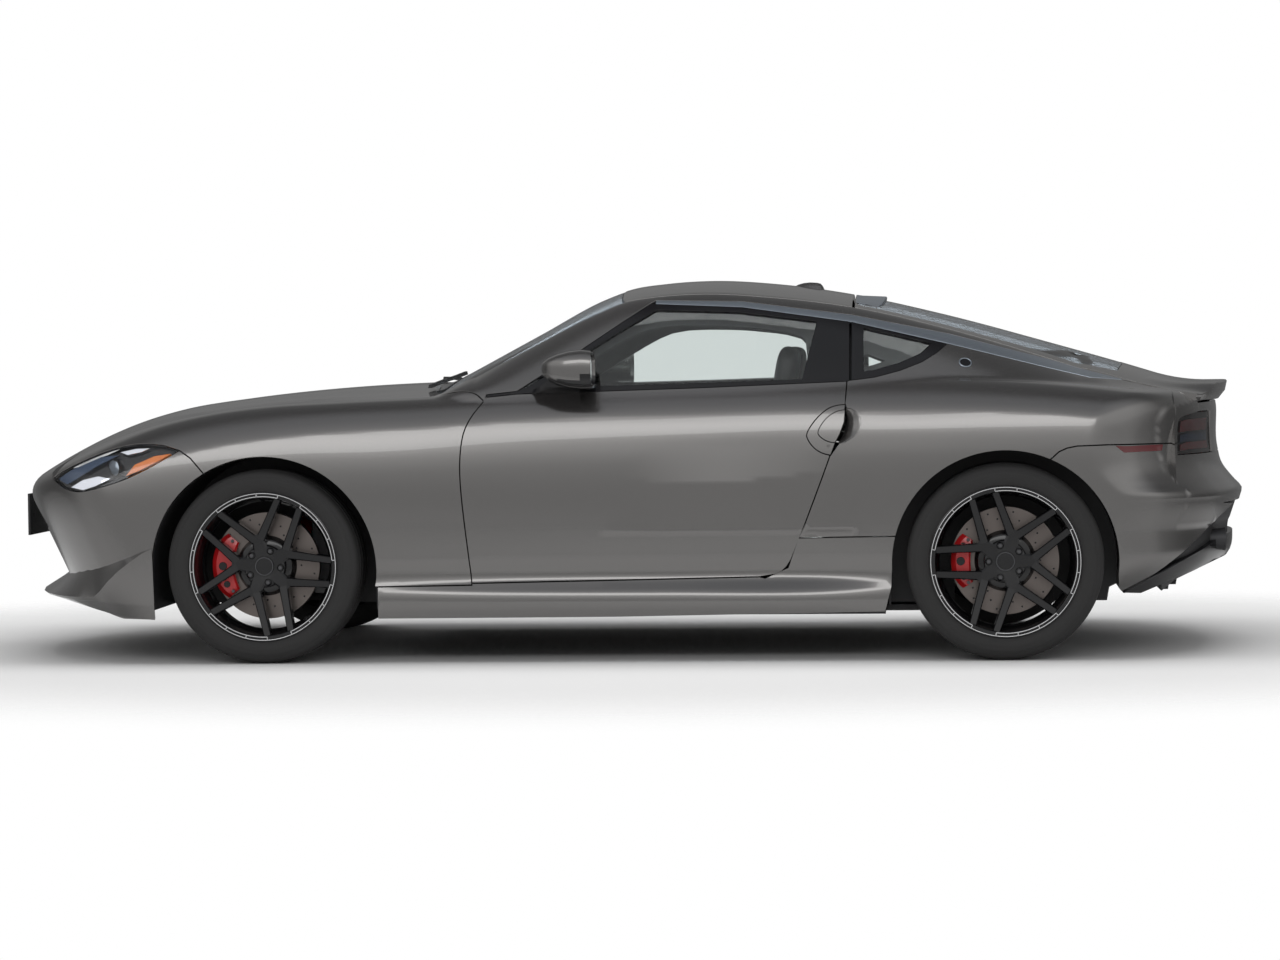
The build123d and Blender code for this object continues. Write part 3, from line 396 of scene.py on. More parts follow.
def skin_bmesh(chart, loop, holes=(), spacing=0.016, lift=0.0):
    """The stretch of skin inside a chart loop: evenly spaced faces that follow the form."""
    loops = [loop, *holes]
    low, high = np.min(loop, axis=0), np.max(loop, axis=0)
    us = np.arange(low[0] + spacing / 2, high[0], spacing)
    vs = np.arange(low[1] + spacing / 2, high[1], spacing * 0.87)
    grid = np.array([(u + (row % 2) * spacing / 2, v) for row, v in enumerate(vs) for u in us])
    keep = in_loop(grid, loop) & (loop_distance(grid, loop) > spacing * BORDER_FREE)
    for hole in holes:
        keep &= ~in_loop(grid, hole) & (loop_distance(grid, hole) > spacing * BORDER_FREE)
    verts, edges = [], []
    for ring in loops:
        first = len(verts)
        verts += [Vector(q) for q in ring]
        edges += [(first + k, first + (k + 1) % len(ring)) for k in range(len(ring))]
    verts += [Vector(q) for q in grid[keep]]
    flat, _, faces, *_ = delaunay_2d_cdt(verts, edges, [], 1, 1e-7)
    uv = np.array([tuple(q) for q in flat])
    if holes:
        centres = np.array([uv[list(f)].mean(axis=0) for f in faces])
        outside = np.zeros(len(faces), bool)
        for hole in holes:
            outside |= in_loop(centres, hole)
        faces = [f for f, gone in zip(faces, outside) if not gone]
    p = chart.points(uv)
    if lift:
        p = p + gradient(p) * lift
    bm = bmesh.new()
    made = [bm.verts.new(q) for q in p]
    for f in faces:
        try:
            bm.faces.new([made[k] for k in f])
        except ValueError:
            continue
    loose = [v for v in bm.verts if not v.link_faces]
    bmesh.ops.delete(bm, geom=loose, context="VERTS")
    return bm


def face_outwards(bm):
    centres = np.array([f.calc_center_median()[:] for f in bm.faces])
    out = gradient(centres)
    for f, n in zip(bm.faces, out):
        f.normal_update()
        if f.normal.dot(Vector(n)) < 0:
            f.normal_flip()


def fold_in(bm, thick):
    """Turns the skin's border in: a small round, then the panel's return flange, thick deep."""
    border = [e for e in bm.edges if e.is_boundary]
    for depth, draw in ((ROUND_EDGE * 0.3, ROUND_EDGE * 0.3), (ROUND_EDGE, ROUND_EDGE * 0.7), (thick, 0.0)):
        tangents = {}
        for e in border:
            face = e.link_faces[0]
            middle = (e.verts[0].co + e.verts[1].co) / 2
            out = middle - face.calc_center_median()
            along = e.verts[1].co - e.verts[0].co
            if along.length > 1e-9:
                out -= along.normalized() * out.dot(along.normalized())
            for v in e.verts:
                tangents.setdefault(v, []).append(out.normalized() if out.length > 1e-9 else Vector())
        made = bmesh.ops.extrude_edge_only(bm, edges=border)["geom"]
        new = [g for g in made if isinstance(g, bmesh.types.BMVert)]
        normals = gradient(np.array([v.co[:] for v in new]))
        old = {}
        for v in new:
            for e in v.link_edges:
                other = e.other_vert(v)
                if other in tangents:
                    old[v] = other
        for v, n in zip(new, normals):
            t = sum(tangents.get(old.get(v), [Vector()]), Vector())
            if t.length > 1e-6:
                t.normalize()
            v.co = v.co + t * draw - Vector(n) * depth
        border = [g for g in made if isinstance(g, bmesh.types.BMEdge) and g.is_boundary]


def offset_loop(loop, inset):
    """The chart loop drawn in by inset; a negative inset widens it."""
    q = np.array(loop)
    after, before = np.roll(q, -1, axis=0), np.roll(q, 1, axis=0)
    turn = 1 if np.sum(q[:, 0] * after[:, 1] - after[:, 0] * q[:, 1]) > 0 else -1
    sides = []
    for step in (q - before, after - q):
        inward = np.stack([-step[:, 1], step[:, 0]], axis=1) * turn
        sides.append(inward / np.maximum(np.linalg.norm(inward, axis=1, keepdims=True), 1e-9))
    middle = sides[0] + sides[1]
    middle /= np.maximum(np.linalg.norm(middle, axis=1, keepdims=True), 1e-9)
    reach = np.clip(np.sum(middle * sides[0], axis=1), 0.5, 1)
    return [tuple(p) for p in q + middle * (inset / reach)[:, None]]


def rounded(points, passes=2):
    """Open outline with its corners cut off, ends kept."""
    for _ in range(passes):
        cut = [points[0]]
        for (x0, y0), (x1, y1) in zip(points, points[1:]):
            cut += [(x0 * 0.75 + x1 * 0.25, y0 * 0.75 + y1 * 0.25),
                    (x0 * 0.25 + x1 * 0.75, y0 * 0.25 + y1 * 0.75)]
        points = [*cut, points[-1]]
    return points


# ---------------------------------------------------------------- pieces
def mirror_image(bm):
    twin = bm.copy()
    for v in twin.verts:
        v.co.y = -v.co.y
    bmesh.ops.reverse_faces(twin, faces=twin.faces)
    return twin


def tinted(bm, finish):
    """The same mesh with one finish all over."""
    for face in bm.faces:
        face.material_index = finish
    return bm


def join(*parts):
    """One bmesh of several; face flags and material indices are kept."""
    whole = parts[0]
    for part in parts[1:]:
        mesh = bpy.data.meshes.new("joined")
        part.to_mesh(mesh)
        part.free()
        whole.from_mesh(mesh)
        bpy.data.meshes.remove(mesh)
    return whole


def emit(name, bm, finishes, body, nodes=(), sharp=35):
    """Makes the object. Faces flagged as skin are lit by the form's own normals."""
    mesh = bpy.data.meshes.new(name)
    skin = bm.faces.layers.int.get("skin")
    flags = [face[skin] for face in bm.faces] if skin else []
    bm.to_mesh(mesh)
    bm.free()
    for finish in finishes:
        mesh.materials.append(material(finish))
    mesh.polygons.foreach_set("use_smooth", [True] * len(mesh.polygons))
    mesh.set_sharp_from_angle(angle=math.radians(sharp))
    if any(flags):
        places = np.array([v.co[:] for v in mesh.vertices])
        normals = gradient(places)
        split = np.zeros((len(mesh.loops), 3))
        for face, flagged in zip(mesh.polygons, flags):
            if flagged:
                for k in face.loop_indices:
                    split[k] = normals[mesh.loops[k].vertex_index] * flagged
        mesh.normals_split_custom_set(split.tolist())
    obj = bpy.data.objects.new(name, mesh)
    bpy.context.scene.collection.objects.link(obj)
    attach(obj, body)
    if nodes:
        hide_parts(*nodes)
    return obj


def panel(chart, loop, holes=(), thick=0.018, spacing=0.016, gap=PANEL_GAP / 2, lift=0.0, back=None):
    """A pressed panel: the skin inside the loop, less half the shut line, with its edge turned in.

    back is its inner skin's finish, and without it there is no inner skin.
    """
    outer = offset_loop(loop, gap)
    inner = [offset_loop(hole, -gap) for hole in holes]
    bm = skin_bmesh(chart, outer, inner, spacing, lift)
    face_outwards(bm)
    skin = bm.faces.layers.int.new("skin")
    for face in bm.faces:
        face[skin] = 1
    pressed = set(bm.faces)
    fold_in(bm, thick)
    for face in bm.faces:
        if face not in pressed:
            face[skin] = 0
    if back is None:
        return bm
    inside = skin_bmesh(chart, outer, inner, spacing * (COARSER if thick > THIN_PANEL else 1.0),
                        lift - thick + 0.0005)
    face_outwards(inside)
    bmesh.ops.reverse_faces(inside, faces=inside.faces)
    turned_in = inside.faces.layers.int.new("skin")
    for face in inside.faces:
        face.material_index = back
        face[turned_in] = -1
    return join(bm, inside)


# ---------------------------------------------------------------- outlines of the panels, metres
def arch(axle, start, end):
    return arc((AXLE[axle], ARCH_HEIGHT[axle]), ARCH_RADIUS[axle], start, end)


HOOD_SIDE = [(-1.80, 0.618), (-1.50, 0.700), (-1.212, 0.730), (-0.90, 0.738), (-0.60, 0.744)]
HOOD_FRONT = [(-2.062, 0.0), (-2.052, 0.30), (-1.99, 0.50), (-1.92, 0.575), (-1.80, 0.618)]
HOOD_REAR = [(-0.60, 0.744), (-0.635, 0.60), (-0.68, 0.30), (-0.69, 0.0)]
FENDER_SEAM = [(-1.500, 0.739), (-1.46, 0.712), (-1.4124, 0.6576)]
SEAM_ANGLE = 120.9
DOOR_FRONT = rounded([(-0.437, 0.911), (-0.505, 0.820), (-0.524, 0.730), (-0.524, 0.600), (-0.490, 0.272)], 2)
DOOR_BOTTOM = [(-0.490, 0.272), (0.0, 0.279), (0.500, 0.287)]
DOOR_REAR = rounded([(0.500, 0.287), (0.590, 0.300), (0.640, 0.420), (0.767, 0.754), (0.798, 0.870),
                     (0.804, 0.953)], 2)
DOOR_TOP = [(0.804, 0.953), (0.303, 0.936), (-0.333, 0.921), (-0.437, 0.911)]
SILL_REAR = [(0.520, 0.283), (0.598, 0.318), (0.634, 0.420), (0.957, 0.424)]
BUMPER_SEAM = rounded([(1.490, 0.680), (1.530, 0.716), (1.60, 0.729), (1.928, 0.727)], 1)
REAR_SEAM_ANGLE = 66.6
REAR_SILL_ANGLE = 165.7
LAMP_FRONT, LAMP_REAR = (-1.978, 0.642), (-1.500, 0.739)
LAMP_LOWER = [LAMP_FRONT, *rounded([(-1.935, 0.612), (-1.872, 0.595), (-1.800, 0.607), (-1.690, 0.640),
                                    (-1.600, 0.683)], 2), LAMP_REAR]
LAMP_UPPER = [LAMP_REAR, *rounded([(-1.560, 0.757), (-1.640, 0.765), (-1.740, 0.750), (-1.850, 0.710),
                                   (-1.950, 0.660)], 2),
              LAMP_FRONT]
LAMP = LAMP_LOWER + LAMP_UPPER[1:-1]
HANDLE_OUTER = rounded([(0.799, 0.874), (0.770, 0.872), (0.738, 0.861), (0.698, 0.826), (0.664, 0.776),
                        (0.672, 0.752), (0.690, 0.728), (0.716, 0.710), (0.7475, 0.702)], 2)
HANDLE_FLAP = rounded([(0.797, 0.856), (0.764, 0.850), (0.730, 0.826), (0.702, 0.782), (0.712, 0.764),
                       (0.738, 0.748), (0.764, 0.744)], 2)
SCOOP_NEAR = [(0.8005, 0.8585), (0.8025, 0.852), (0.804, 0.842), (0.804, 0.825), (0.802, 0.805),
              (0.796, 0.785), (0.788, 0.765), (0.778, 0.750), (0.7735, 0.744)]
SCOOP_FAR = [(0.803, 0.8600), (0.816, 0.8585), (0.834, 0.849), (0.848, 0.829), (0.8505, 0.808),
             (0.844, 0.786), (0.828, 0.767), (0.800, 0.749), (0.776, 0.741)]
TAIL_FRONT, TAIL_LOW = 1.936, 0.687
TAIL_UPPER = rounded([(1.936, 0.770), (1.940, 0.806), (1.962, 0.819), (1.995, 0.826)], 2)
TAIL_HIGH = 0.832
TAIL_EDGE = [(0.510, 0.864)]
STRIP_LOW = [(0.137, 1.229), (0.440, 1.214), (0.820, 1.158), (1.155, 1.078), (1.500, 0.990), (1.640, 0.956),
             (1.753, 0.946)]
STRIP_TOP = [(0.137, 1.240), (0.440, 1.232), (0.820, 1.181), (1.155, 1.112), (1.500, 1.020), (1.640, 0.978),
             (1.753, 0.948)]
ROOF_SIDE = [(0.024, 0.560), (0.30, 0.556), (0.822, 0.545)]
HATCH_SIDE = [(0.828, 0.545), (1.20, 0.536), (1.528, 0.524), (1.80, 0.520), (1.96, 0.522)]
SCREEN_SIDE = [(-0.64, 0.700), (-0.311, 0.632), (-0.05, 0.583), (0.018, 0.563)]
QUARTER_LOW = [(0.834, 0.958), (0.900, 0.966), (0.986, 0.988), (1.060, 1.016), (1.110, 1.046), (1.150, 1.079)]
DIFFUSER_FOOT = [("side", [(1.735, 0.222), (1.80, 0.215)]),
                 ("end", [(0.62, 0.26), (0.45, 0.315), (0.0, 0.32)])]
DIFFUSER_LINE = [(1.735, 0.222), (1.80, 0.245), (1.95, 0.352), (2.09, 0.462), (2.155, 0.505)]
GRILLE = rounded([(0.0, 0.545), (0.40, 0.535), (0.455, 0.490), (0.515, 0.300), (0.470, 0.268), (0.0, 0.262)],
                 1)


def both(bm):
    """The left-hand piece and its image as one."""
    return join(bm, mirror_image(bm))


def handed(bm, side, at=None):
    """The left-hand piece, moved into place, or its image for the right side."""
    if at is not None:
        moved(bm, at)
    return bm if side == "left" else mirror_image(bm)


def front_bumper_mesh():
    loop = whole_loop(FRONT_WRAP, [
        ("plan", HOOD_FRONT[:-1]), ("side", LAMP_LOWER), ("side", FENDER_SEAM),
        ("side", arch("front", SEAM_ANGLE, 180)), ("side", [(-1.602, 0.250), (-1.603, 0.150)]),
        ("end", [(0.80, 0.150), (0.70, 0.175), (0.50, 0.205), (0.0, 0.215)])], 0.014)
    grille = whole_loop(FRONT_WRAP, [("end", GRILLE)], 0.014)
    return panel(FRONT_WRAP, loop, (grille,))


def front_fender_mesh():
    loop = chart_loop(RING, [
        ("side", LAMP_UPPER), ("plan", HOOD_FRONT[-2:]), ("plan", HOOD_SIDE),
        ("plan", [(-0.53, 0.775), (-0.445, 0.815)]),
        ("side", DOOR_FRONT), ("side", [(-0.490, 0.266), (-0.817, 0.262)]),
        ("side", arch("front", -9, SEAM_ANGLE)), ("side", FENDER_SEAM[::-1])], 0.014)
    return panel(RING, loop)


def hood_mesh():
    loop = whole_loop(RING, [("plan", HOOD_FRONT), ("plan", HOOD_SIDE), ("plan", HOOD_REAR)], 0.015)
    return panel(RING, loop, back=0)


def door_mesh():
    """The door's skin, less the handle's plate in its rear edge."""
    low = [p for p in DOOR_REAR if p[1] < 0.700]
    high = [p for p in DOOR_REAR if p[1] > 0.880]
    loop = chart_loop(RING, [("side", DOOR_FRONT), ("side", DOOR_BOTTOM), ("side", low),
                             ("side", HANDLE_OUTER[::-1]), ("side", high), ("side", DOOR_TOP)], 0.013)
    return panel(RING, loop, thick=0.045, back=1)


def sill_mesh():
    loop = chart_loop(RING, [
        ("side", [(-0.817, 0.262), (-0.490, 0.266), *DOOR_BOTTOM]), ("side", SILL_REAR),
        ("side", arch("rear", REAR_SILL_ANGLE, 182)),
        ("side", [(0.952, 0.25), (0.930, 0.165), (0.0, 0.152), (-0.818, 0.150)])], 0.014)
    return panel(RING, loop)


def quarter_mesh():
    loop = chart_loop(RING, [
        ("side", [(0.812, 0.956), *QUARTER_LOW]), ("side", STRIP_LOW[3:]),
        ("plan", [(1.80, 0.545), (1.90, 0.530), (1.930, 0.5255)]), ("side", [(1.930, 0.840), (1.930, 0.727)]),
        ("side", BUMPER_SEAM[::-1]), ("side", arch("rear", REAR_SEAM_ANGLE, REAR_SILL_ANGLE)),
        ("side", SILL_REAR[:1:-1]), ("side", [p for p in DOOR_REAR if 0.42 < p[1] < 0.742]),
        ("side", SCOOP_FAR[::-1]),
        ("side", [p for p in DOOR_REAR if p[1] > 0.872])], 0.014)
    corner = chart_loop(TAIL_BALL, [
        ("plan", [(1.924, 0.5265), (1.945, 0.524), (1.96, 0.522)]), ("end", TAIL_EDGE),
        ("end", [(0.508, TAIL_HIGH)]),
        ("side", [*TAIL_UPPER[::-1], (TAIL_FRONT, 0.727)]),
        ("side", [(1.924, 0.727), (1.924, 0.770), (1.924, 0.810)]),
        ("plan", [(1.924, 0.790), (1.924, 0.740), (1.924, 0.680), (1.924, 0.600), (1.924, 0.5265)])], 0.012)
    return join(panel(RING, loop), panel(TAIL_BALL, corner, spacing=0.012, gap=0.0012, lift=-0.0003))


def roof_mesh():
    loop = whole_loop(RING, [("plan", [(-0.004, 0.0), (0.0, 0.30), (0.012, 0.50), (0.024, 0.560)]),
                             ("plan", ROOF_SIDE), ("plan", [(0.822, 0.545), (0.822, 0.0)])], 0.016)
    return panel(RING, loop)


def side_frame_mesh():
    """A-pillar and roof rail, between the screen, the roof and the trim strip."""
    loop = chart_loop(RING, [
        ("plan", [(-0.60, 0.744), (-0.64, 0.702)]), ("plan", SCREEN_SIDE), ("plan", ROOF_SIDE),
        ("plan", HATCH_SIDE),
        ("side", STRIP_TOP[::-1]), ("side", [(0.118, 1.229), (-0.200, 1.014), (-0.333, 0.930),
                                             (-0.437, 0.920)]),
        ("plan", [(-0.445, 0.815), (-0.53, 0.775), (-0.60, 0.744)])], 0.013)
    return panel(RING, loop)


def strip_mesh():
    loop = chart_loop(RING, [("side", STRIP_LOW), ("side", STRIP_TOP[::-1])], 0.010)
    return panel(RING, loop, thick=0.006, spacing=0.012, gap=0.0006, lift=0.0005)


def pane(loop, thick, lift):
    """Window glass: a closed slab set in below the skin."""
    return panel(RING, loop, thick=thick, spacing=0.025, gap=0.001, lift=lift, back=0)


def windscreen_mesh():
    loop = whole_loop(RING, [("plan", [(-0.70, 0.0), (-0.69, 0.30), (-0.652, 0.60), (-0.64, 0.700)]),
                             ("plan", SCREEN_SIDE),
                             ("plan", [(0.018, 0.563), (0.010, 0.50), (-0.004, 0.30), (-0.008, 0.0)])], 0.02)
    return pane(loop, 0.005, -0.002)


def hatch_glass_loop():
    return whole_loop(RING, [
        ("plan", [(0.838, 0.0), (0.838, 0.46), (0.850, 0.486)]),
        ("plan", [(0.850, 0.486), (1.30, 0.474), (1.68, 0.452), (1.745, 0.42)]),
        ("plan", [(1.745, 0.42), (1.775, 0.20), (1.78, 0.0)])], 0.02)


def hatch_glass_mesh():
    return pane(hatch_glass_loop(), 0.005, -0.001)


def hatch_mesh():
    loop = whole_loop(RING, [
        ("plan", [(0.828, 0.0), (0.828, 0.545)]), ("plan", HATCH_SIDE),
        ("end", [*TAIL_EDGE, (0.345, 0.868), (0.0, 0.870)])], 0.016)
    return panel(RING, loop, (hatch_glass_loop(),), back=0)


def rear_face_mesh():
    """The hatch's upright face between the tail lamps."""
    loop = whole_loop(REAR_WRAP, [("end", [(0.0, 0.868), (0.345, 0.866), *TAIL_EDGE[::-1], (0.508, TAIL_HIGH),
                                           (0.345, TAIL_HIGH), (0.345, TAIL_LOW), (0.0, TAIL_LOW)])], 0.016)
    return panel(REAR_WRAP, loop, back=0)


def rear_bumper_mesh():
    loop = whole_loop(REAR_WRAP, [
        ("end", [(0.0, TAIL_LOW), (0.60, TAIL_LOW)]),
        ("side", [(TAIL_FRONT, TAIL_LOW), (TAIL_FRONT, 0.727), (1.928, 0.727)]),
        ("side", BUMPER_SEAM[::-1]), ("side", arch("rear", REAR_SEAM_ANGLE, -6)),
        ("side", [(1.722, 0.24), *DIFFUSER_LINE]), ("end", [(0.50, 0.512), (0.0, 0.512)])], 0.014)
    return panel(REAR_WRAP, loop)


def diffuser_mesh():
    loop = whole_loop(REAR_WRAP, [
        ("end", [(0.0, 0.508), (0.50, 0.508)]), ("side", DIFFUSER_LINE[::-1]),
        *DIFFUSER_FOOT], 0.014)
    edge = whole_loop(REAR_WRAP, [
        ("end", [(0.0, 0.405), (0.45, 0.398), (0.60, 0.365)]),
        ("side", [(1.93, 0.322), (1.830, 0.268), (1.738, 0.224)]),
        *DIFFUSER_FOOT], 0.014)
    blade = tinted(panel(REAR_WRAP, edge, lift=0.006, thick=0.016), 1)
    return join(panel(REAR_WRAP, loop, lift=-0.012, thick=0.03), blade)


def exhaust_mesh():
    """Silencer across the tail with a short open pipe at each side."""
    pipes = []
    to_the_rear = Matrix.Rotation(math.radians(90), 4, "Z")
    for side in (-1, 1):
        pipe = turned([(0.0, 0.036), (0.200, 0.036), (0.238, 0.040), (0.240, 0.0385), (0.238, 0.037),
                       (0.140, 0.034), (0.140, 0.0)], 40)
        pipes.append(moved(pipe, Matrix.Translation((1.875, side * 0.470, 0.385)) @ to_the_rear))
    return join(box_mesh((1.752, -0.528, 0.332), (1.908, 0.528, 0.438), bevel=0.03), *pipes)


def tail_lamp_mesh():
    return panel(REAR_WRAP, tail_lamp_loop(), thick=0.03, lift=-0.006)


def tail_lamp_loop():
    return chart_loop(REAR_WRAP, [
        ("side", [(TAIL_FRONT, TAIL_LOW), *TAIL_UPPER]), ("end", [(0.60, TAIL_HIGH), (0.345, TAIL_HIGH)]),
        ("end", [(0.345, TAIL_LOW), (0.60, TAIL_LOW)])], 0.012)


def head_lamp_mesh():
    return panel(FRONT_WRAP, chart_loop(FRONT_WRAP, [("side", LAMP)], 0.010), thick=0.006, spacing=0.013,
                 gap=0.0015, lift=-0.002)


def door_glass_mesh():
    loop = chart_loop(RING, [("side", [(-0.345, 0.934), (0.303, 0.948), (0.655, 0.957), (0.708, 1.168),
                                       (0.430, 1.203), (0.137, 1.216), (-0.200, 1.008)])], 0.02)
    return pane(loop, 0.004, -0.006)


def quarter_glass_mesh():
    loop = chart_loop(RING, [("side", [(0.845, 0.972), (0.900, 0.979), (0.980, 1.002), (1.060, 1.036),
                                       (1.118, 1.083), (0.845, 1.146)])], 0.02)
    return pane(loop, 0.004, -0.006)


def window_frame_mesh():
    """Black frame round the door glass: the door's own moulding and the cover behind its divider."""
    outer = chart_loop(RING, [
        ("side", [(-0.437, 0.920), (-0.333, 0.930), (-0.200, 1.014), (0.118, 1.229), (0.137, 1.229)]),
        ("side", STRIP_LOW[:2]),
        ("side", [(0.440, 1.214), (0.812, 1.160), (0.812, 0.956)]), ("side", DOOR_TOP)], 0.012)
    inner = chart_loop(RING, [("side", [(-0.333, 0.941), (0.303, 0.953), (0.650, 0.962), (0.700, 1.162),
                                        (0.430, 1.197), (0.142, 1.209), (-0.190, 1.006)])], 0.012)
    return panel(RING, outer, (inner,), thick=0.01, spacing=0.014, gap=0.0008, lift=-0.001)


def quarter_frame_mesh():
    outer = chart_loop(RING, [("side", [(0.819, 0.957), *QUARTER_LOW]),
                              ("side", [(1.150, 1.079), (0.819, 1.158)])], 0.012)
    inner = chart_loop(RING, [("side", [(0.862, 0.988), (0.900, 0.992), (0.980, 1.014), (1.055, 1.046),
                                        (1.095, 1.082), (0.862, 1.137)])], 0.012)
    return panel(RING, outer, (inner,), thick=0.01, spacing=0.014, gap=0.0008, lift=-0.001)


def blade_mesh(rows):
    """The front lip on the left half and its image, one row of LIP_ROWS a section."""
    left = []
    for degrees, foot, edge, edge_out, crease, crease_out, low, low_out in rows:
        turn = math.radians(degrees)
        skin = FRONT_WRAP.points(np.array([(turn * FRONT_WRAP.SCALE, z) for z in (foot, edge, crease, low)]))
        out = np.array([-math.cos(turn), -math.sin(turn), 0.0])
        ramp, rim, chin, base = skin + out * np.array([[-0.006], [edge_out], [crease_out], [low_out]])
        left.append([ramp, ramp * 0.55 + rim * 0.45, rim * 0.97 + ramp * 0.03, rim, chin,
                     chin * 0.96 + base * 0.04, base])
    return lofted([row * np.array([1, -1, 1]) for row in map(np.array, reversed(left[1:]))] + left,
                  ring=False, caps=False)


# The lip: angle round the nose; the height of its foot; then height and reach of its edge, of the crease
# under it and of its lower end
LIP_ROWS = [
    (0, 0.285, 0.2265, 0.118, 0.2225, 0.116, 0.196, 0.0),
    (15, 0.286, 0.2265, 0.118, 0.2225, 0.116, 0.196, 0.0),
    (30, 0.289, 0.2255, 0.117, 0.2215, 0.115, 0.192, 0.0),
    (42, 0.295, 0.2250, 0.114, 0.2200, 0.112, 0.188, 0.0),
    (52, 0.305, 0.2252, 0.104, 0.2185, 0.101, 0.184, 0.002),
    (59, 0.317, 0.2258, 0.088, 0.2170, 0.084, 0.180, 0.004),
    (64, 0.329, 0.2268, 0.068, 0.2155, 0.063, 0.176, 0.006),
    (67.5, 0.338, 0.2290, 0.050, 0.2145, 0.047, 0.172, 0.008),
    (70, 0.345, 0.250, 0.042, 0.213, 0.041, 0.168, 0.009),
    (73, 0.354, 0.286, 0.036, 0.211, 0.036, 0.164, 0.010),
    (76, 0.366, 0.322, 0.030, 0.209, 0.031, 0.160, 0.010),
    (79, 0.380, 0.356, 0.023, 0.207, 0.025, 0.157, 0.009),
    (81.5, 0.394, 0.384, 0.014, 0.206, 0.017, 0.154, 0.007),
    (83.5, 0.402, 0.400, 0.002, 0.204, 0.004, 0.151, 0.001),
]


def spoiler_mesh():
    """Duck tail along the hatch's rear edge."""
    sections = []
    for y in np.linspace(-0.548, 0.548, 41):
        a = abs(y)
        edge = skin_point("end", a, 0.845)[0]
        away = min(max((a - 0.40) / 0.148, 0.0), 1.0)
        along = edge - 0.065 - np.array([0.170, 0.140, 0.110, 0.080, 0.050, 0.020, 0.0])
        deck = on_skin("plan", np.stack([along, np.full(len(along), a)], axis=1))[:, 2]
        slope = (deck[-1] - deck[-2]) / (along[-1] - along[-2])
        along = np.append(along, [edge - 0.035, edge - 0.005, edge + 0.020, edge + 0.036 - 0.030 * away**2])
        ground = np.append(deck, deck[-1] + slope * (along[-4:] - along[6]))
        short = max(0.12 - (along - along[0]).max(), 0)
        level = 0.939 - 0.006 * (a / 0.4) ** 2 - 0.075 * away**1.6 - 0.10 * short
        height = smooth_max(ground, np.full(len(ground), level), 0.030)
        height[0] = deck[0] - 0.003
        tip_x, tip_z = along[-1], height[-1]
        low = min(tip_z - 0.004, 0.872)
        sections.append([(x, y, z) for x, z in zip(along, height)] + [
            (tip_x + 0.003, y, tip_z - 0.004), (tip_x - 0.004, y, tip_z * 0.45 + low * 0.55),
            (edge + 0.008, y, low), (edge - 0.020, y, min(low - 0.006, 0.866))])
    return lofted(sections, ring=False)


def flat_piece(outline, chart, step=0.010, **options):
    """A panel inside one outline that is drawn from the side."""
    return panel(chart, chart_loop(chart, [("side", outline)], step), **options)


def handle_mesh():
    """The door handle: a plate flush in the door, the pull on it and the lock's cap."""
    plate = flat_piece([*HANDLE_OUTER, *HANDLE_FLAP[::-1]], RING, thick=0.012, spacing=0.009, gap=0.0016)
    pull = flat_piece([*HANDLE_FLAP, (0.780, 0.775), (0.795, 0.815), (0.798, 0.850)], RING, thick=0.018,
                      spacing=0.009, gap=0.0016, lift=0.0022)
    at = skin_point("side", 0.7405, 0.7345)
    cap = turned([(-0.001, 0.0062), (0.0012, 0.0056), (0.0014, 0.004), (0.0002, 0.0036), (0.0002, 0.0)], 24)
    return join(plate, pull, moved(cap, Matrix.Translation(at)))


def scoop_mesh():
    """Finger scoop behind the door's edge: a shell that dips towards the shut line."""
    sections = []
    for near, far in zip(SCOOP_NEAR, SCOOP_FAR):
        row = []
        for share in np.linspace(1, 0, 9):
            x, z = np.array(near) + (np.array(far) - near) * share
            skin = skin_point("side", x, z)
            width = math.dist(near, far)
            row.append((x, skin[1] + 0.62 * width * (1 - share) ** 1.25, z))
        sections.append([(row[0][0] + 0.0015, row[0][1] - 0.0003, row[0][2]), *row])
    return lofted(sections, ring=False, caps=False)


MARKER = [(1.712, 0.7245), (1.742, 0.701), (1.876, 0.703), (1.880, 0.7245)]
# Inside the head lamp: outline, finish, lift. The finishes are those of the emitted bowls
LAMP_STRIPS = [
    ([(-1.955, 0.640), (-1.915, 0.622), (-1.880, 0.640), (-1.800, 0.690), (-1.720, 0.728), (-1.790, 0.722),
      (-1.900, 0.676)], 4, -0.010),
    ([(-1.900, 0.612), (-1.850, 0.603), (-1.800, 0.618), (-1.745, 0.645), (-1.790, 0.655), (-1.850, 0.640)],
     1, -0.010),
    ([(-1.720, 0.738), (-1.660, 0.750), (-1.610, 0.751), (-1.640, 0.738), (-1.690, 0.728)], 1, -0.010),
    ([(-1.690, 0.652), (-1.640, 0.672), (-1.560, 0.712), (-1.530, 0.730), (-1.590, 0.722), (-1.660, 0.692)],
     2, -0.006),
]


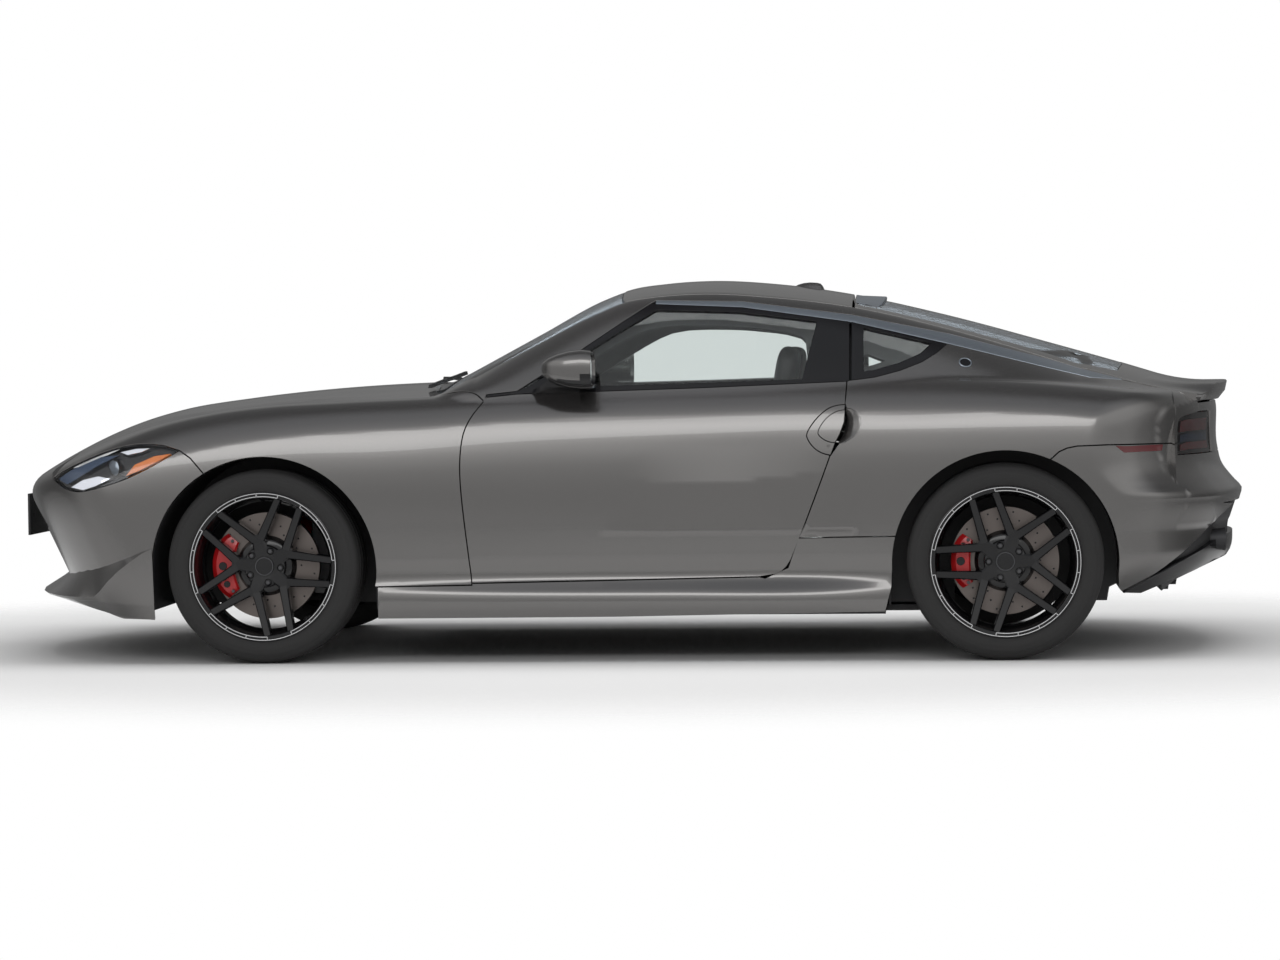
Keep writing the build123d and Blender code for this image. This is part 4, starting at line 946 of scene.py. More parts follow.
def head_lamp_inside():
    """Bowl behind the lens: dark surround, bright strips, a projector and the amber marker."""
    bowl = panel(FRONT_WRAP, chart_loop(FRONT_WRAP, [("side", LAMP)], 0.010), thick=0.002, spacing=0.013,
                 gap=0.0015, lift=-0.030)
    strips = []
    for outline, finish, lift in LAMP_STRIPS:
        piece = flat_piece(outline, FRONT_WRAP, thick=0.010, spacing=0.012, gap=0.0005, lift=lift, step=0.012)
        strips.append(tinted(piece, finish))
    centre = skin_point("side", -1.735, 0.690)
    out = gradient(np.array([centre]))[0]
    ahead = Vector((out[0] - 0.5, out[1], 0.0)).normalized()
    ball = turned([(0.0, 0.034), (0.010, 0.034), (0.012, 0.030), (0.004, 0.028), (0.008, 0.020),
                   (0.012, 0.010), (0.013, 0.0)], 40)
    for face in ball.faces:
        middle = face.calc_center_median()
        face.material_index = 3 if math.hypot(middle.x, middle.z) < 0.0275 else 0
    moved(ball, Matrix.Translation(Vector(centre) - Vector(out) * 0.026) @ facing(ahead))
    return join(bowl, *strips, ball)


def tail_lamp_inside():
    bowl = panel(REAR_WRAP, tail_lamp_loop(), thick=0.002, lift=-0.034)
    strips = []
    for low, high, finish in ((0.762, 0.800, 1), (0.728, 0.752, 2), (0.700, 0.722, 1)):
        loop = chart_loop(REAR_WRAP, [("side", [(1.955, low), (1.958, high)]),
                                      ("end", [(0.60, high + 0.006), (0.37, high + 0.008)]),
                                      ("end", [(0.37, low + 0.004), (0.60, low + 0.003)])], 0.012)
        strips.append(tinted(panel(REAR_WRAP, loop, thick=0.012, lift=-0.018, gap=0.0005), finish))
    return join(bowl, *strips)


DOOR_OPENING = rounded([(-0.330, 0.936), (-0.200, 0.990), (-0.087, 1.059), (0.044, 1.134), (0.137, 1.174),
                        (0.295, 1.177), (0.479, 1.167),
                        (0.640, 1.140), (0.672, 1.105), (0.660, 0.945), (0.640, 0.936)], 1)
QUARTER_OPENING = [(0.830, 1.063), (0.826, 1.008), (0.880, 1.022), (0.940, 1.043), (0.880, 1.067)]


def lining_mesh():
    """Dark lining of the roof and pillars, inside the skin, with openings at the door and quarter windows."""
    edge = whole_loop(RING, [
        ("plan", [(0.040, 0.0), (0.040, 0.52), (0.020, 0.575), (-0.05, 0.595), (-0.311, 0.645),
                  (-0.55, 0.700)]),
        ("side", [(-0.42, 0.930), (0.0, 0.932), (0.80, 0.950), (1.20, 0.960), (1.55, 0.935)]),
        ("plan", [(1.62, 0.50), (1.20, 0.505), (0.86, 0.515), (0.815, 0.48), (0.815, 0.0)])], 0.02)
    holes = []
    for opening in (DOOR_OPENING, QUARTER_OPENING):
        left = chart_loop(RING, [("side", opening)], 0.02)
        holes += [left, [RING.other_side(q) for q in left][::-1]]
    return panel(RING, edge, holes, thick=0.012, spacing=0.03, gap=0.0, lift=-0.040, back=0)


def pillow(size, power, pitch, at, channels=()):
    """Closed crowned pad: half sizes, squareness, lean about Y, centre and sewn grooves (place, depth)."""
    bm = bmesh.new()
    bmesh.ops.create_cube(bm, size=2.0)
    bmesh.ops.subdivide_edges(bm, edges=bm.edges, cuts=15, use_grid_fill=True)
    for v in bm.verts:
        p = np.array(v.co[:])
        reach = np.sum(np.abs(p) ** power) ** (1 / power)
        p = p / reach
        p = p * (1 + 0.05 * (1 - np.abs(p)[[1, 2, 0]] ** 2) * (1 - np.abs(p)[[2, 0, 1]] ** 2))
        for place, depth in channels:
            if abs(p[2]) > 0.5:
                p[2] -= math.copysign(depth, p[2]) * math.exp(-((p[1] - place) / 0.035) ** 2)
        v.co = Vector(p * size)
    turn = Matrix.Rotation(math.radians(pitch), 4, "Y")
    return moved(bm, Matrix.Translation(at) @ turn)


def seat_pads(side):
    """Cushion, back, side bolsters and head rest of one front seat: (name, pad)."""
    y = side * SEAT_Y
    pads = [("cushion", pillow((0.225, 0.160, 0.050), 4.5, -4, (0.170, y, 0.330),
                               ((-0.5, 0.10), (0.5, 0.10)))),
            ("back", pillow((0.280, 0.165, 0.052), 4.5, -75, (0.472, y, 0.620), ((-0.5, 0.10), (0.5, 0.10)))),
            ("head_rest", pillow((0.085, 0.115, 0.040), 3.6, -80, (0.585, y, 0.985)))]
    for letter, hand in HANDS.items():
        pads.append((f"cushion_bolster_{letter}",
                     pillow((0.215, 0.040, 0.058), 3.0, -4, (0.180, y + hand * 0.196, 0.345))))
        pads.append((f"back_bolster_{letter}",
                     pillow((0.235, 0.040, 0.058), 3.0, -75, (0.455, y + hand * 0.196, 0.600))))
    return pads


HANDS = {"a": -1, "b": 1}
SEAT_Y, REAR_SEAT_Y = 0.370, 0.340
# Rear seats: name, half sizes, squareness, lean, x and z
REAR_PADS = [("cushion", (0.110, 0.185, 0.045), 4.0, -4, 0.870, 0.375),
             ("back", (0.200, 0.185, 0.040), 4.0, -80, 1.000, 0.600)]
# Caliper on each axle: inner radius, outer radius, half angle, metres and degrees
CALIPERS = {"front": (0.112, 0.190, 40), "rear": (0.118, 0.184, 33)}
# How far the outer faces of caliper and disc lie behind the tyre's
CALIPER_BACK, DISC_BACK = 0.074, 0.098


def caliper_mesh(axle, half_width):
    """Opposed-piston caliper ahead of the disc, with painted shade of its piston bores as dark discs, and a
    bolt at each end.
    """
    inner, outer, spread = CALIPERS[axle]
    face = half_width - CALIPER_BACK
    rows = []
    for k in range(17):
        t = -1 + k / 8
        angle = math.radians(180 + spread * t)
        swell = 1 - 0.35 * t**6
        low, high = inner + 0.012 * t**2, inner + (outer - inner) * (1 - 0.20 * abs(t) ** 3)
        top = -(face - 0.020 * (1 - swell))
        deep = top + 0.070 * swell
        ring = [(low, deep), (low, top + 0.006), (low + 0.006, top), (high - 0.016, top + 0.002),
                (high, top + 0.016), (high, deep)]
        rows.append([(r * math.cos(angle), out, r * math.sin(angle)) for r, out in ring])
    parts = [lofted(rows)]
    # The three gloss black discs are painted shade of the piston bores; the two steel ones at the ends are
    # bolts.
    for at, radius, finish in ((-0.62, 0.0115, 1), (0.0, 0.0145, 1), (0.62, 0.0115, 1), (-0.92, 0.006, 2),
                               (0.92, 0.006, 2)):
        angle = math.radians(180 + spread * at)
        middle = (inner + outer) / 2 - (0.006 if abs(at) > 0.9 else 0.0)
        disc = turned([(face + 0.0005, radius), (face + 0.0022, radius * 0.94), (face + 0.0022, 0.0)], 20,
                      finish=finish)
        parts.append(round_hub(disc, middle, angle))
    return join(*parts)


def disc_mesh(half_width):
    """Drilled brake disc with its darker hat; the drill holes are dark spots on its face, painted shade in
    place of openings.
    """
    face = half_width - DISC_BACK
    band = turned([(face - 0.030, 0.100), (face - 0.030, 0.184), (face - 0.018, 0.1855),
                   (face - 0.012, 0.1855), (face, 0.184), (face, 0.104)], 96)
    hat = turned([(face - 0.004, 0.106), (face + 0.006, 0.102), (face + 0.030, 0.092), (face + 0.034, 0.084),
                  (face + 0.034, 0.030)], 72, finish=1)
    holes = []
    # Drill holes: gloss black spots just proud of the disc face, painted shade of the holes.
    for k in range(36):
        hole = turned([(face + 0.0003, 0.0035), (face + 0.0003, 0.0)], 10, finish=1)
        holes.append(round_hub(hole, 0.120 + k % 3 * 0.024, math.radians(k * 10)))
    return join(band, hat, *holes)


def wiper_mesh():
    """Two parked wiper arms and their blades at the screen's foot."""
    parts = []
    for start, end in (((-0.675, -0.50), (-0.600, -0.06)), ((-0.690, 0.02), (-0.640, 0.52))):
        sections = []
        for share in np.linspace(0, 1, 9):
            x, y = np.array(start) + (np.array(end) - start) * share
            z = skin_point("plan", x, abs(y))[2] + 0.012
            sections.append([(x - 0.007, y, z - 0.004), (x + 0.007, y, z - 0.004), (x + 0.004, y, z + 0.008),
                             (x - 0.004, y, z + 0.008)])
        parts.append(lofted(sections))
    return join(*parts)


def hatch_cap_mesh():
    """Small lip along the top of the hatch glass, level where the glass falls away."""
    sections = []
    for y in np.linspace(-0.44, 0.44, 23):
        fall = 0.030 * (abs(y) / 0.44) ** 3
        along = np.array([0.832, 0.850, 0.936 - fall, 0.939 - fall])
        ground = on_skin("plan", np.stack([along, np.full(4, abs(y))], axis=1))[:, 2]
        level = ground[0] - 0.003 - 0.010 * (abs(y) / 0.44) ** 4
        sections.append([(along[0], y, ground[0] + 0.0005), (along[1], y, max(level, ground[1] + 0.001)),
                         (along[2], y, level - 0.004),
                         (along[3], y, level - 0.007), (along[3] - 0.002, y, ground[3] - 0.001)])
    return lofted(sections)


def disc_badge_mesh():
    """Plain disc on the rear pillar."""
    at = skin_point("side", 1.210, 1.012)
    out = gradient(np.array([at]))[0]
    disc = turned([(0.0015, 0.0), (0.0015, 0.018), (0.001, 0.0185)], 48)
    ring = turned([(-0.002, 0.0225), (0.001, 0.0225), (0.0024, 0.0212), (0.0024, 0.0197), (0.001, 0.0185)],
                  48, finish=1)
    return moved(join(disc, ring), Matrix.Translation(at) @ facing(out))


# The mirror cap's sections: x, centre y, centre z, half width, half height. Then points in each, squareness
MIRROR_ROWS = [
    (-0.238, -0.853, 1.004, 0.030, 0.012),
    (-0.232, -0.855, 1.004, 0.052, 0.022),
    (-0.212, -0.859, 1.004, 0.074, 0.036),
    (-0.180, -0.865, 1.003, 0.088, 0.050),
    (-0.140, -0.871, 1.003, 0.094, 0.060),
    (-0.100, -0.875, 1.003, 0.094, 0.064),
    (-0.070, -0.877, 1.002, 0.092, 0.062),
    (-0.062, -0.877, 1.002, 0.089, 0.059),
]
MIRROR_POINTS, MIRROR_POWER = 32, 2 / 3.1


def mirror_mesh():
    """Door mirror: cap, dark underside and foot, and the mirror glass."""
    rows = []
    for x, y, z, wide, high in MIRROR_ROWS:
        row = []
        for k in range(MIRROR_POINTS):
            t = 2 * math.pi * k / MIRROR_POINTS
            c, s = math.cos(t), math.sin(t)
            y_off = wide * math.copysign(abs(c) ** MIRROR_POWER, c)
            sag = (0.010 if s < -0.2 else 0) * (1 if c < 0 else 0.3)
            z_off = high * math.copysign(abs(s) ** MIRROR_POWER, s) - sag
            row.append((x, y + y_off, z + z_off + 0.008 * (1 - (c + 1) / 2)))
        rows.append(row)
    glass = rows[-1]
    middle = np.mean(glass, axis=0)

    def drawn_in(share, back):
        return [tuple(middle + (np.array(p) - middle) * share + (back, 0, 0)) for p in glass]

    shell = lofted([*rows, drawn_in(0.93, -0.010)], caps=False)
    for face in shell.faces:
        centre = face.calc_center_median()
        face.material_index = 1 if centre.z < 0.975 + (centre.x + 0.15) * 0.05 or centre.x > -0.064 else 0
    pane = lofted([drawn_in(0.92, -0.008), drawn_in(0.02, -0.006)], finish=2, caps=False)
    nose = lofted([rows[0], [tuple(np.mean(rows[0], axis=0))] * len(rows[0])], caps=False)
    foot = lofted([[(-0.285, -0.800, 0.918), (-0.120, -0.800, 0.922), (-0.115, -0.800, 0.938),
                    (-0.275, -0.800, 0.936)],
                   [(-0.262, -0.835, 0.926), (-0.110, -0.835, 0.930), (-0.105, -0.835, 0.946),
                    (-0.245, -0.835, 0.948)],
                   [(-0.225, -0.868, 0.944), (-0.105, -0.868, 0.942), (-0.100, -0.868, 0.965),
                    (-0.215, -0.868, 0.970)]], finish=1)
    return join(shell, pane, nose, foot)


def sail_mesh():
    """Black triangle that the mirror stands on."""
    return flat_piece([(-0.437, 0.9135), (-0.250, 0.9255), (-0.150, 0.930), (-0.150, 0.985), (-0.205, 1.000),
                       (-0.315, 0.934)], RING, thick=0.012, spacing=0.014, gap=0.0008, lift=0.0005)


def fin_mesh():
    """Aerial fin on the roof."""
    rows = []
    for x, high, wide in ((0.604, 0.000, 0.006), (0.616, 0.008, 0.016), (0.636, 0.016, 0.022),
                          (0.660, 0.0215, 0.023), (0.686, 0.0235, 0.021),
                          (0.698, 0.022, 0.019), (0.706, 0.014, 0.017), (0.713, 0.0, 0.014)):
        ground = skin_point("plan", x, 0.0)[2]
        rows.append([(x, side * wide * reach, ground + high * share - 0.002) for side, reach, share in (
            (-1, 1.2, 0), (-1, 0.85, 0.45), (-1, 0.45, 0.86), (-1, 0.2, 0.98), (1, 0, 1), (1, 0.2, 0.98),
            (1, 0.45, 0.86), (1, 0.85, 0.45), (1, 1.2, 0))])
    return lofted(rows, ring=False, caps=False)


# ---------------------------------------------------------------- turned and lofted shapes
def turned(profile, segments=96, start=0.0, sweep=360.0, finish=0):
    """A profile of (distance outboard, radius) turned about the axis of a left wheel at the origin."""
    bm = bmesh.new()
    closed = abs(sweep - 360) < 1e-6
    count = segments if closed else max(2, int(segments * sweep / 360)) + 1
    rings = []
    for k in range(count):
        angle = math.radians(start + sweep * k / (segments if closed else count - 1))
        rings.append([bm.verts.new((r * math.cos(angle), -out, r * math.sin(angle))) for out, r in profile])
    pairs = list(zip(rings, rings[1:] + rings[:1])) if closed else list(zip(rings, rings[1:]))
    for ring, after in pairs:
        for (a, b), (c, d) in zip(zip(ring, ring[1:]), zip(after, after[1:])):
            face = bm.faces.new((a, b, d, c))
            face.material_index = finish
    bmesh.ops.remove_doubles(bm, verts=bm.verts, dist=1e-6)
    bmesh.ops.recalc_face_normals(bm, faces=bm.faces)
    return bm


def lofted(sections, finish=0, caps=True, ring=True):
    """Skin through sections of equal point counts."""
    bm = bmesh.new()
    rows = [[bm.verts.new(p) for p in section] for section in sections]
    for row, after in zip(rows, rows[1:]):
        count = len(row) if ring else len(row) - 1
        for k in range(count):
            n = (k + 1) % len(row)
            bm.faces.new((row[k], row[n], after[n], after[k])).material_index = finish
    if caps:
        for row in (rows[0], rows[-1]):
            bm.faces.new(row).material_index = finish
    bmesh.ops.remove_doubles(bm, verts=bm.verts, dist=1e-6)
    bmesh.ops.recalc_face_normals(bm, faces=bm.faces)
    return bm


def box_mesh(low, high, bevel):
    """A box between two corners with its edges rounded by bevel."""
    bm = bmesh.new()
    bmesh.ops.create_cube(bm, size=1.0)
    for v in bm.verts:
        for i in range(3):
            v.co[i] = low[i] if v.co[i] < 0 else high[i]
    bmesh.ops.bevel(bm, geom=bm.edges, offset=bevel, segments=3, profile=0.5, affect="EDGES")
    return bm


def moved(bm, matrix):
    bmesh.ops.transform(bm, matrix=matrix, verts=bm.verts)
    return bm


def round_hub(bm, radius, angle):
    """The piece at an angle and distance from the wheel's axis."""
    return moved(bm, Matrix.Translation((radius * math.cos(angle), 0, radius * math.sin(angle))))


def spoke_bar(start, end, width, depth, drop):
    """A wheel spoke between two (radius, angle) places: crowned face, drawn-in sides."""
    sections = []
    (r0, t0), (r1, t1) = start, end
    p0 = np.array([r0 * math.cos(t0), r0 * math.sin(t0)])
    p1 = np.array([r1 * math.cos(t1), r1 * math.sin(t1)])
    along = (p1 - p0) / np.linalg.norm(p1 - p0)
    across = np.array([-along[1], along[0]])
    for share, wide, out, deep in zip((0.0, 0.5, 1.0), width, drop, depth):
        q = p0 + (p1 - p0) * share
        section = []
        for side, back in ((-1.0, 1.0), (-0.94, 0.12), (-0.72, 0.0), (0.72, 0.0), (0.94, 0.12), (1.0, 1.0)):
            w = q + across * side * wide / 2
            section.append((w[0], -(out - deep * back), w[1]))
        sections.append(section)
    return lofted(sections)


LINE_OUTER, LINE_INNER = 0.2535, 0.2425
LINE_WIDTH = 0.0022
ARM_SPREAD = 26.0
FORK_RADIUS = 0.101
NUT_CIRCLE = 0.057


def ring_bar(radius, width, out, height, start, sweep, finish):
    return turned([(out - 0.004, radius - width / 2), (out + height, radius - width / 2),
                   (out + height, radius + width / 2), (out - 0.004, radius + width / 2)], 144, start, sweep,
                   finish)


def rim_mesh(half_width, first_stem):
    lip = half_width - 0.008
    back = -half_width + 0.008
    barrel = turned([(back, 0.258), (back + 0.004, 0.259), (back + 0.010, 0.243), (back + 0.03, 0.236),
                     (0.0, 0.222),
                     (lip - 0.055, 0.224), (lip - 0.022, 0.236), (lip - 0.012, 0.2385), (lip - 0.006, 0.2395),
                     (lip - 0.004, 0.242), (lip - 0.003, 0.254), (lip, 0.2565), (lip - 0.001, 0.259),
                     (lip - 0.010, 0.259)], 144)
    hub_out = lip - 0.034
    hub = turned([(hub_out - 0.055, 0.075), (hub_out - 0.012, 0.074), (hub_out - 0.004, 0.070),
                  (hub_out, 0.064),
                  (hub_out - 0.002, 0.040), (hub_out - 0.003, 0.034), (hub_out - 0.003, 0.0)], 72)
    parts = [barrel, hub]
    for k in range(5):
        stem = math.radians(first_stem + k * 72)
        parts.append(spoke_bar((0.045, stem), (FORK_RADIUS + 0.012, stem), (0.060, 0.048, 0.046),
                               (0.040, 0.036, 0.034), (hub_out - 0.001, hub_out + 0.003, hub_out + 0.006)))
        for lean in (-1, 1):
            end = stem + lean * math.radians(ARM_SPREAD)
            parts.append(spoke_bar((FORK_RADIUS - 0.006, stem + lean * 0.10), (0.2385, end),
                                   (0.034, 0.029, 0.027),
                                   (0.034, 0.034, 0.030), (hub_out + 0.005, hub_out + 0.016, lip - 0.005)))
        nut = stem + math.radians(36)
        at = Matrix.Translation((NUT_CIRCLE * math.cos(nut), 0, NUT_CIRCLE * math.sin(nut)))
        parts.append(moved(turned([(hub_out - 0.012, 0.0125), (hub_out + 0.0012, 0.0125),
                                   (hub_out - 0.0002, 0.0105),
                                   (hub_out - 0.010, 0.0102), (hub_out - 0.010, 0.0)], 24), at))
        parts.append(moved(turned([(hub_out - 0.010, 0.0088), (hub_out + 0.006, 0.0085),
                                   (hub_out + 0.008, 0.0070), (hub_out + 0.008, 0.0)], 6, finish=2), at))
        opening = math.degrees(stem) + ARM_SPREAD
        for edge in range(4):
            angle = math.radians(math.degrees(stem) - ARM_SPREAD + edge * 2 * ARM_SPREAD / 3)
            spot = np.array([math.cos(angle), math.sin(angle)])
            side = np.array([-spot[1], spot[0]]) * LINE_WIDTH / 2
            ring = [spot * LINE_INNER - side, spot * LINE_OUTER - side, spot * LINE_OUTER + side,
                    spot * LINE_INNER + side]
            parts.append(lofted([[(q[0], -(lip + depth), q[1]) for q in ring] for depth in (-0.008, 0.0006)],
                                finish=1))
        parts.append(ring_bar(LINE_INNER, LINE_WIDTH, lip - 0.003, 0.0036, opening - 2 * ARM_SPREAD,
                              2 * ARM_SPREAD, 1))
    parts.append(ring_bar(LINE_OUTER, LINE_WIDTH, lip - 0.0035, 0.0041, 0, 360, 1))
    parts.append(turned([(hub_out - 0.003, 0.0325), (hub_out + 0.003, 0.0315), (hub_out + 0.003, 0.0285),
                         (hub_out, 0.028)], 48, finish=2))
    parts.append(turned([(hub_out - 0.003, 0.0285), (hub_out + 0.001, 0.0275), (hub_out + 0.002, 0.0)], 48,
                        finish=0))
    return join(*parts)


def tyre_mesh(half_width):
    w = half_width
    side = [(0.80 * w, 0.241), (0.86 * w, 0.250), (0.90 * w, 0.259), (0.925 * w, 0.2605), (0.945 * w, 0.266),
            (0.955 * w, 0.2675),
            (0.972 * w, 0.274), (0.992 * w, 0.284), (0.998 * w, 0.291), (0.994 * w, 0.2935),
            (0.998 * w, 0.296), (0.992 * w, 0.303), (0.975 * w, 0.3085),
            (0.965 * w, 0.3095), (0.955 * w, 0.314), (0.925 * w, 0.3215), (0.88 * w, 0.3275),
            (0.80 * w, 0.3320)]
    grooves = []
    for centre in (0.60, 0.22):
        half = 0.045
        grooves += [((centre + half) * w, 0.3345), ((centre + half - 0.008) * w, 0.3285),
                    ((centre - half + 0.008) * w, 0.3285), ((centre - half) * w, 0.3347)]
    half_profile = side + grooves + [(0.0, 0.335)]
    profile = half_profile + [(-a, r) for a, r in reversed(half_profile[:-1])]
    return turned(profile, 160)


# ---------------------------------------------------------------- finishes
def colour(rgb):
    return (*rgb, 1.0)


# Finish: base colour, metallic, roughness, coat weight, coat roughness
FINISHES = {
    "body_paint": ((0.163, 0.158, 0.154), 0.85, 0.22, 1.0, 0.02),
    "gloss_black": ((0.006, 0.006, 0.007), 0.0, 0.10, 0.0, 0.03),
    "dark_plastic": ((0.022, 0.022, 0.023), 0.0, 0.55, 0.0, 0.0),
    "wheel_black": ((0.008, 0.008, 0.009), 0.0, 0.16, 0.0, 0.04),
    "machined": ((0.80, 0.80, 0.81), 1.0, 0.24, 0.0, 0.0),
    "nut_steel": ((0.10, 0.10, 0.105), 0.9, 0.32, 0.0, 0.0),
    # Silver trim: the metal is real, and the blue in its colour is a painted reflection of the sky.
    "silver_trim_painted_sky": ((0.40, 0.45, 0.51), 0.9, 0.28, 0.0, 0.0),
    "disc_iron": ((0.16, 0.14, 0.13), 0.9, 0.38, 0.0, 0.0),
    "caliper_red": ((0.62, 0.012, 0.016), 0.0, 0.32, 0.5, 0.1),
    "tyre": ((0.019, 0.0185, 0.0185), 0.0, 0.74, 0.0, 0.0),
    "chassis_steel": ((0.055, 0.055, 0.058), 0.6, 0.5, 0.0, 0.0),
    "engine_alloy": ((0.30, 0.30, 0.31), 0.9, 0.45, 0.0, 0.0),
    "seat_leather": ((0.030, 0.029, 0.030), 0.0, 0.48, 0.0, 0.0),
    "cabin_plastic": ((0.024, 0.024, 0.026), 0.0, 0.6, 0.0, 0.0),
    "lamp_chrome": ((0.75, 0.76, 0.80), 1.0, 0.08, 0.0, 0.0),
    "amber": ((0.85, 0.22, 0.01), 0.0, 0.2, 0.6, 0.05),
    "lamp_glow": ((0.55, 0.62, 0.70), 0.6, 0.12, 0.8, 0.03),
    "red_lens": ((0.12, 0.003, 0.007), 0.0, 0.20, 0.6, 0.05),
    "lamp_film": ((0.055, 0.075, 0.115), 0.9, 0.22, 0.0, 0.0),
}
# Glass: tint of what passes through, refractive index of the surface
PANES = {
    "tinted_glass": ((0.80, 0.84, 0.83), 1.45),
    # The dark blue-grey tint of the windscreen and hatch glass is a painted reflection of a blue sky, much
    # darker than the glass itself.
    "screen_glass_painted_sky": ((0.30, 0.345, 0.385), 1.45),
    "lamp_clear": ((0.95, 0.97, 1.0), 1.45),
    "lamp_smoked": ((0.34, 0.32, 0.32), 1.45),
}


def node(tree, kind, inputs=(), **values):
    """A new shader node with its values and its inputs' (name, value)."""
    made = tree.nodes.new(kind)
    for name, value in values.items():
        setattr(made, name, value)
    for name, value in inputs:
        made.inputs[name].default_value = value
    return made


def emptied(owner):
    """The node tree of a new material or world, without its first nodes."""
    owner.use_nodes = True
    owner.node_tree.nodes.clear()
    return owner.node_tree


def wire(tree, *wires):
    """Links (node, output, node, input)."""
    for start, output, end, name in wires:
        tree.links.new(start.outputs[output], end.inputs[name])


def material(name):
    """One finish."""
    made = bpy.data.materials.get(f"coupe_{name}")
    if made:
        return made
    made = bpy.data.materials.new(f"coupe_{name}")
    tree = emptied(made)
    output = node(tree, "ShaderNodeOutputMaterial")
    if name in PANES:
        tint, index = PANES[name]
        inputs = (("Base Color", colour(tint)), ("Roughness", 0.0), ("IOR", index),
                  ("Transmission Weight", 1.0))
        made.diffuse_color = (*tint, 0.5)
    else:
        base, metallic, roughness, coat, coat_roughness = FINISHES[name]
        inputs = (("Base Color", colour(base)), ("Metallic", metallic), ("Roughness", roughness),
                  ("Coat Weight", coat), ("Coat Roughness", coat_roughness))
        made.diffuse_color = colour(base)
    wire(tree, (node(tree, "ShaderNodeBsdfPrincipled", inputs), "BSDF", output, "Surface"))
    return made


# ---------------------------------------------------------------- the add-on
class CoupeSettings(bpy.types.PropertyGroup):
    paint: bpy.props.FloatVectorProperty(
        name="Paint", description="Body colour", subtype="COLOR", min=0, max=1,
        default=FINISHES["body_paint"][0])
    caliper: bpy.props.FloatVectorProperty(
        name="Calipers", description="Brake caliper colour", subtype="COLOR", min=0, max=1,
        default=FINISHES["caliper_red"][0])
    leather: bpy.props.FloatVectorProperty(
        name="Leather", description="Seat colour", subtype="COLOR", min=0, max=1,
        default=FINISHES["seat_leather"][0])
    sky: bpy.props.FloatProperty(
        name="Sky", description="Strength of the even light all round", default=0.38, min=0)
    key: bpy.props.FloatProperty(
        name="Key lamp", description="Power of the large lamp over the car", default=190.0, min=0,
        unit="POWER")


class BuildStep:
    """What the operators share."""

    bl_options = {"REGISTER", "UNDO"}

    def execute(self, context):
        self.build(context.scene.coupe)
        return {"FINISHED"}


def finish_nodes(finish, *nodes):
    """CAD nodes that are shown as they are, in a better finish."""
    for node in nodes:
        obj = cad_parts[node]
        obj.data.materials.clear()
        obj.data.materials.append(material(finish))


class CAR_OT_paint(BuildStep, bpy.types.Operator):
    """Finishes whose colours the user may change."""

    bl_idname = "car.paint"
    bl_label = "Finishes"

    def build(self, settings):
        for name, rgb in (("body_paint", settings.paint), ("caliper_red", settings.caliper),
                          ("seat_leather", settings.leather)):
            shader = next(n for n in material(name).node_tree.nodes if n.type == "BSDF_PRINCIPLED")
            shader.inputs["Base Color"].default_value = colour(rgb)


class CAR_OT_front(BuildStep, bpy.types.Operator):
    """Bumper cover, fenders, hood and head lamps."""

    bl_idname = "car.front"
    bl_label = "Front"

    def build(self, settings):
        emit("front_bumper_cover", front_bumper_mesh(), ["body_paint"], "shell", ["front_bumper"])
        emit("front_fender_skins", both(front_fender_mesh()), ["body_paint"], "shell", ["front_fenders"])
        emit("hood_skin", hood_mesh(), ["body_paint"], "hood", ["hood"])
        emit("front_lip", blade_mesh(LIP_ROWS), ["body_paint"], "shell", sharp=24)
        emit("head_lamp_lenses", both(head_lamp_mesh()), ["lamp_clear"], "shell", ["headlamps"])
        emit("head_lamp_bowls", both(head_lamp_inside()),
             ["gloss_black", "lamp_chrome", "amber", "lamp_glow", "lamp_film"], "shell")


class CAR_OT_doors(BuildStep, bpy.types.Operator):
    """Door skins and their glass."""

    bl_idname = "car.doors"
    bl_label = "Doors"

    def build(self, settings):
        for side in SIDES:
            emit(f"door_skin_{side}", handed(door_mesh(), side), ["body_paint", "cabin_plastic"],
                 f"{side}_door", [f"door_{side}"])
            emit(f"door_pane_{side}", handed(door_glass_mesh(), side), ["tinted_glass"], f"{side}_door",
                 [f"door_glass_{side}"])
            emit(f"door_frame_{side}", handed(join(window_frame_mesh(), sail_mesh()), side), ["gloss_black"],
                 f"{side}_door")
            emit(f"door_handle_{side}", handed(handle_mesh(), side), ["body_paint"], f"{side}_door", sharp=28)
            emit(f"door_mirror_{side}", handed(mirror_mesh(), side),
                 ["body_paint", "gloss_black", "lamp_chrome"], f"{side}_door", [f"mirror_{side}"])


class CAR_OT_cabin_skin(BuildStep, bpy.types.Operator):
    """Roof, pillars, screens, quarter windows and trim strips."""

    bl_idname = "car.cabin_skin"
    bl_label = "Glasshouse"

    def build(self, settings):
        emit("roof_skin", roof_mesh(), ["body_paint"], "shell", ["roof_panel"])
        emit("side_frame_skins", both(side_frame_mesh()), ["body_paint"], "shell", ["side_frames"])
        emit("trim_strips", both(strip_mesh()), ["silver_trim_painted_sky"], "shell")
        emit("windscreen_pane", windscreen_mesh(), ["screen_glass_painted_sky"], "shell", ["windscreen"])
        emit("quarter_panes", both(quarter_glass_mesh()), ["tinted_glass"], "shell", ["quarter_windows"])
        emit("quarter_frames", both(quarter_frame_mesh()), ["gloss_black"], "shell")
        emit("aerial_fin", fin_mesh(), ["body_paint"], "shell")
        emit("wipers", wiper_mesh(), ["dark_plastic"], "shell", sharp=30)


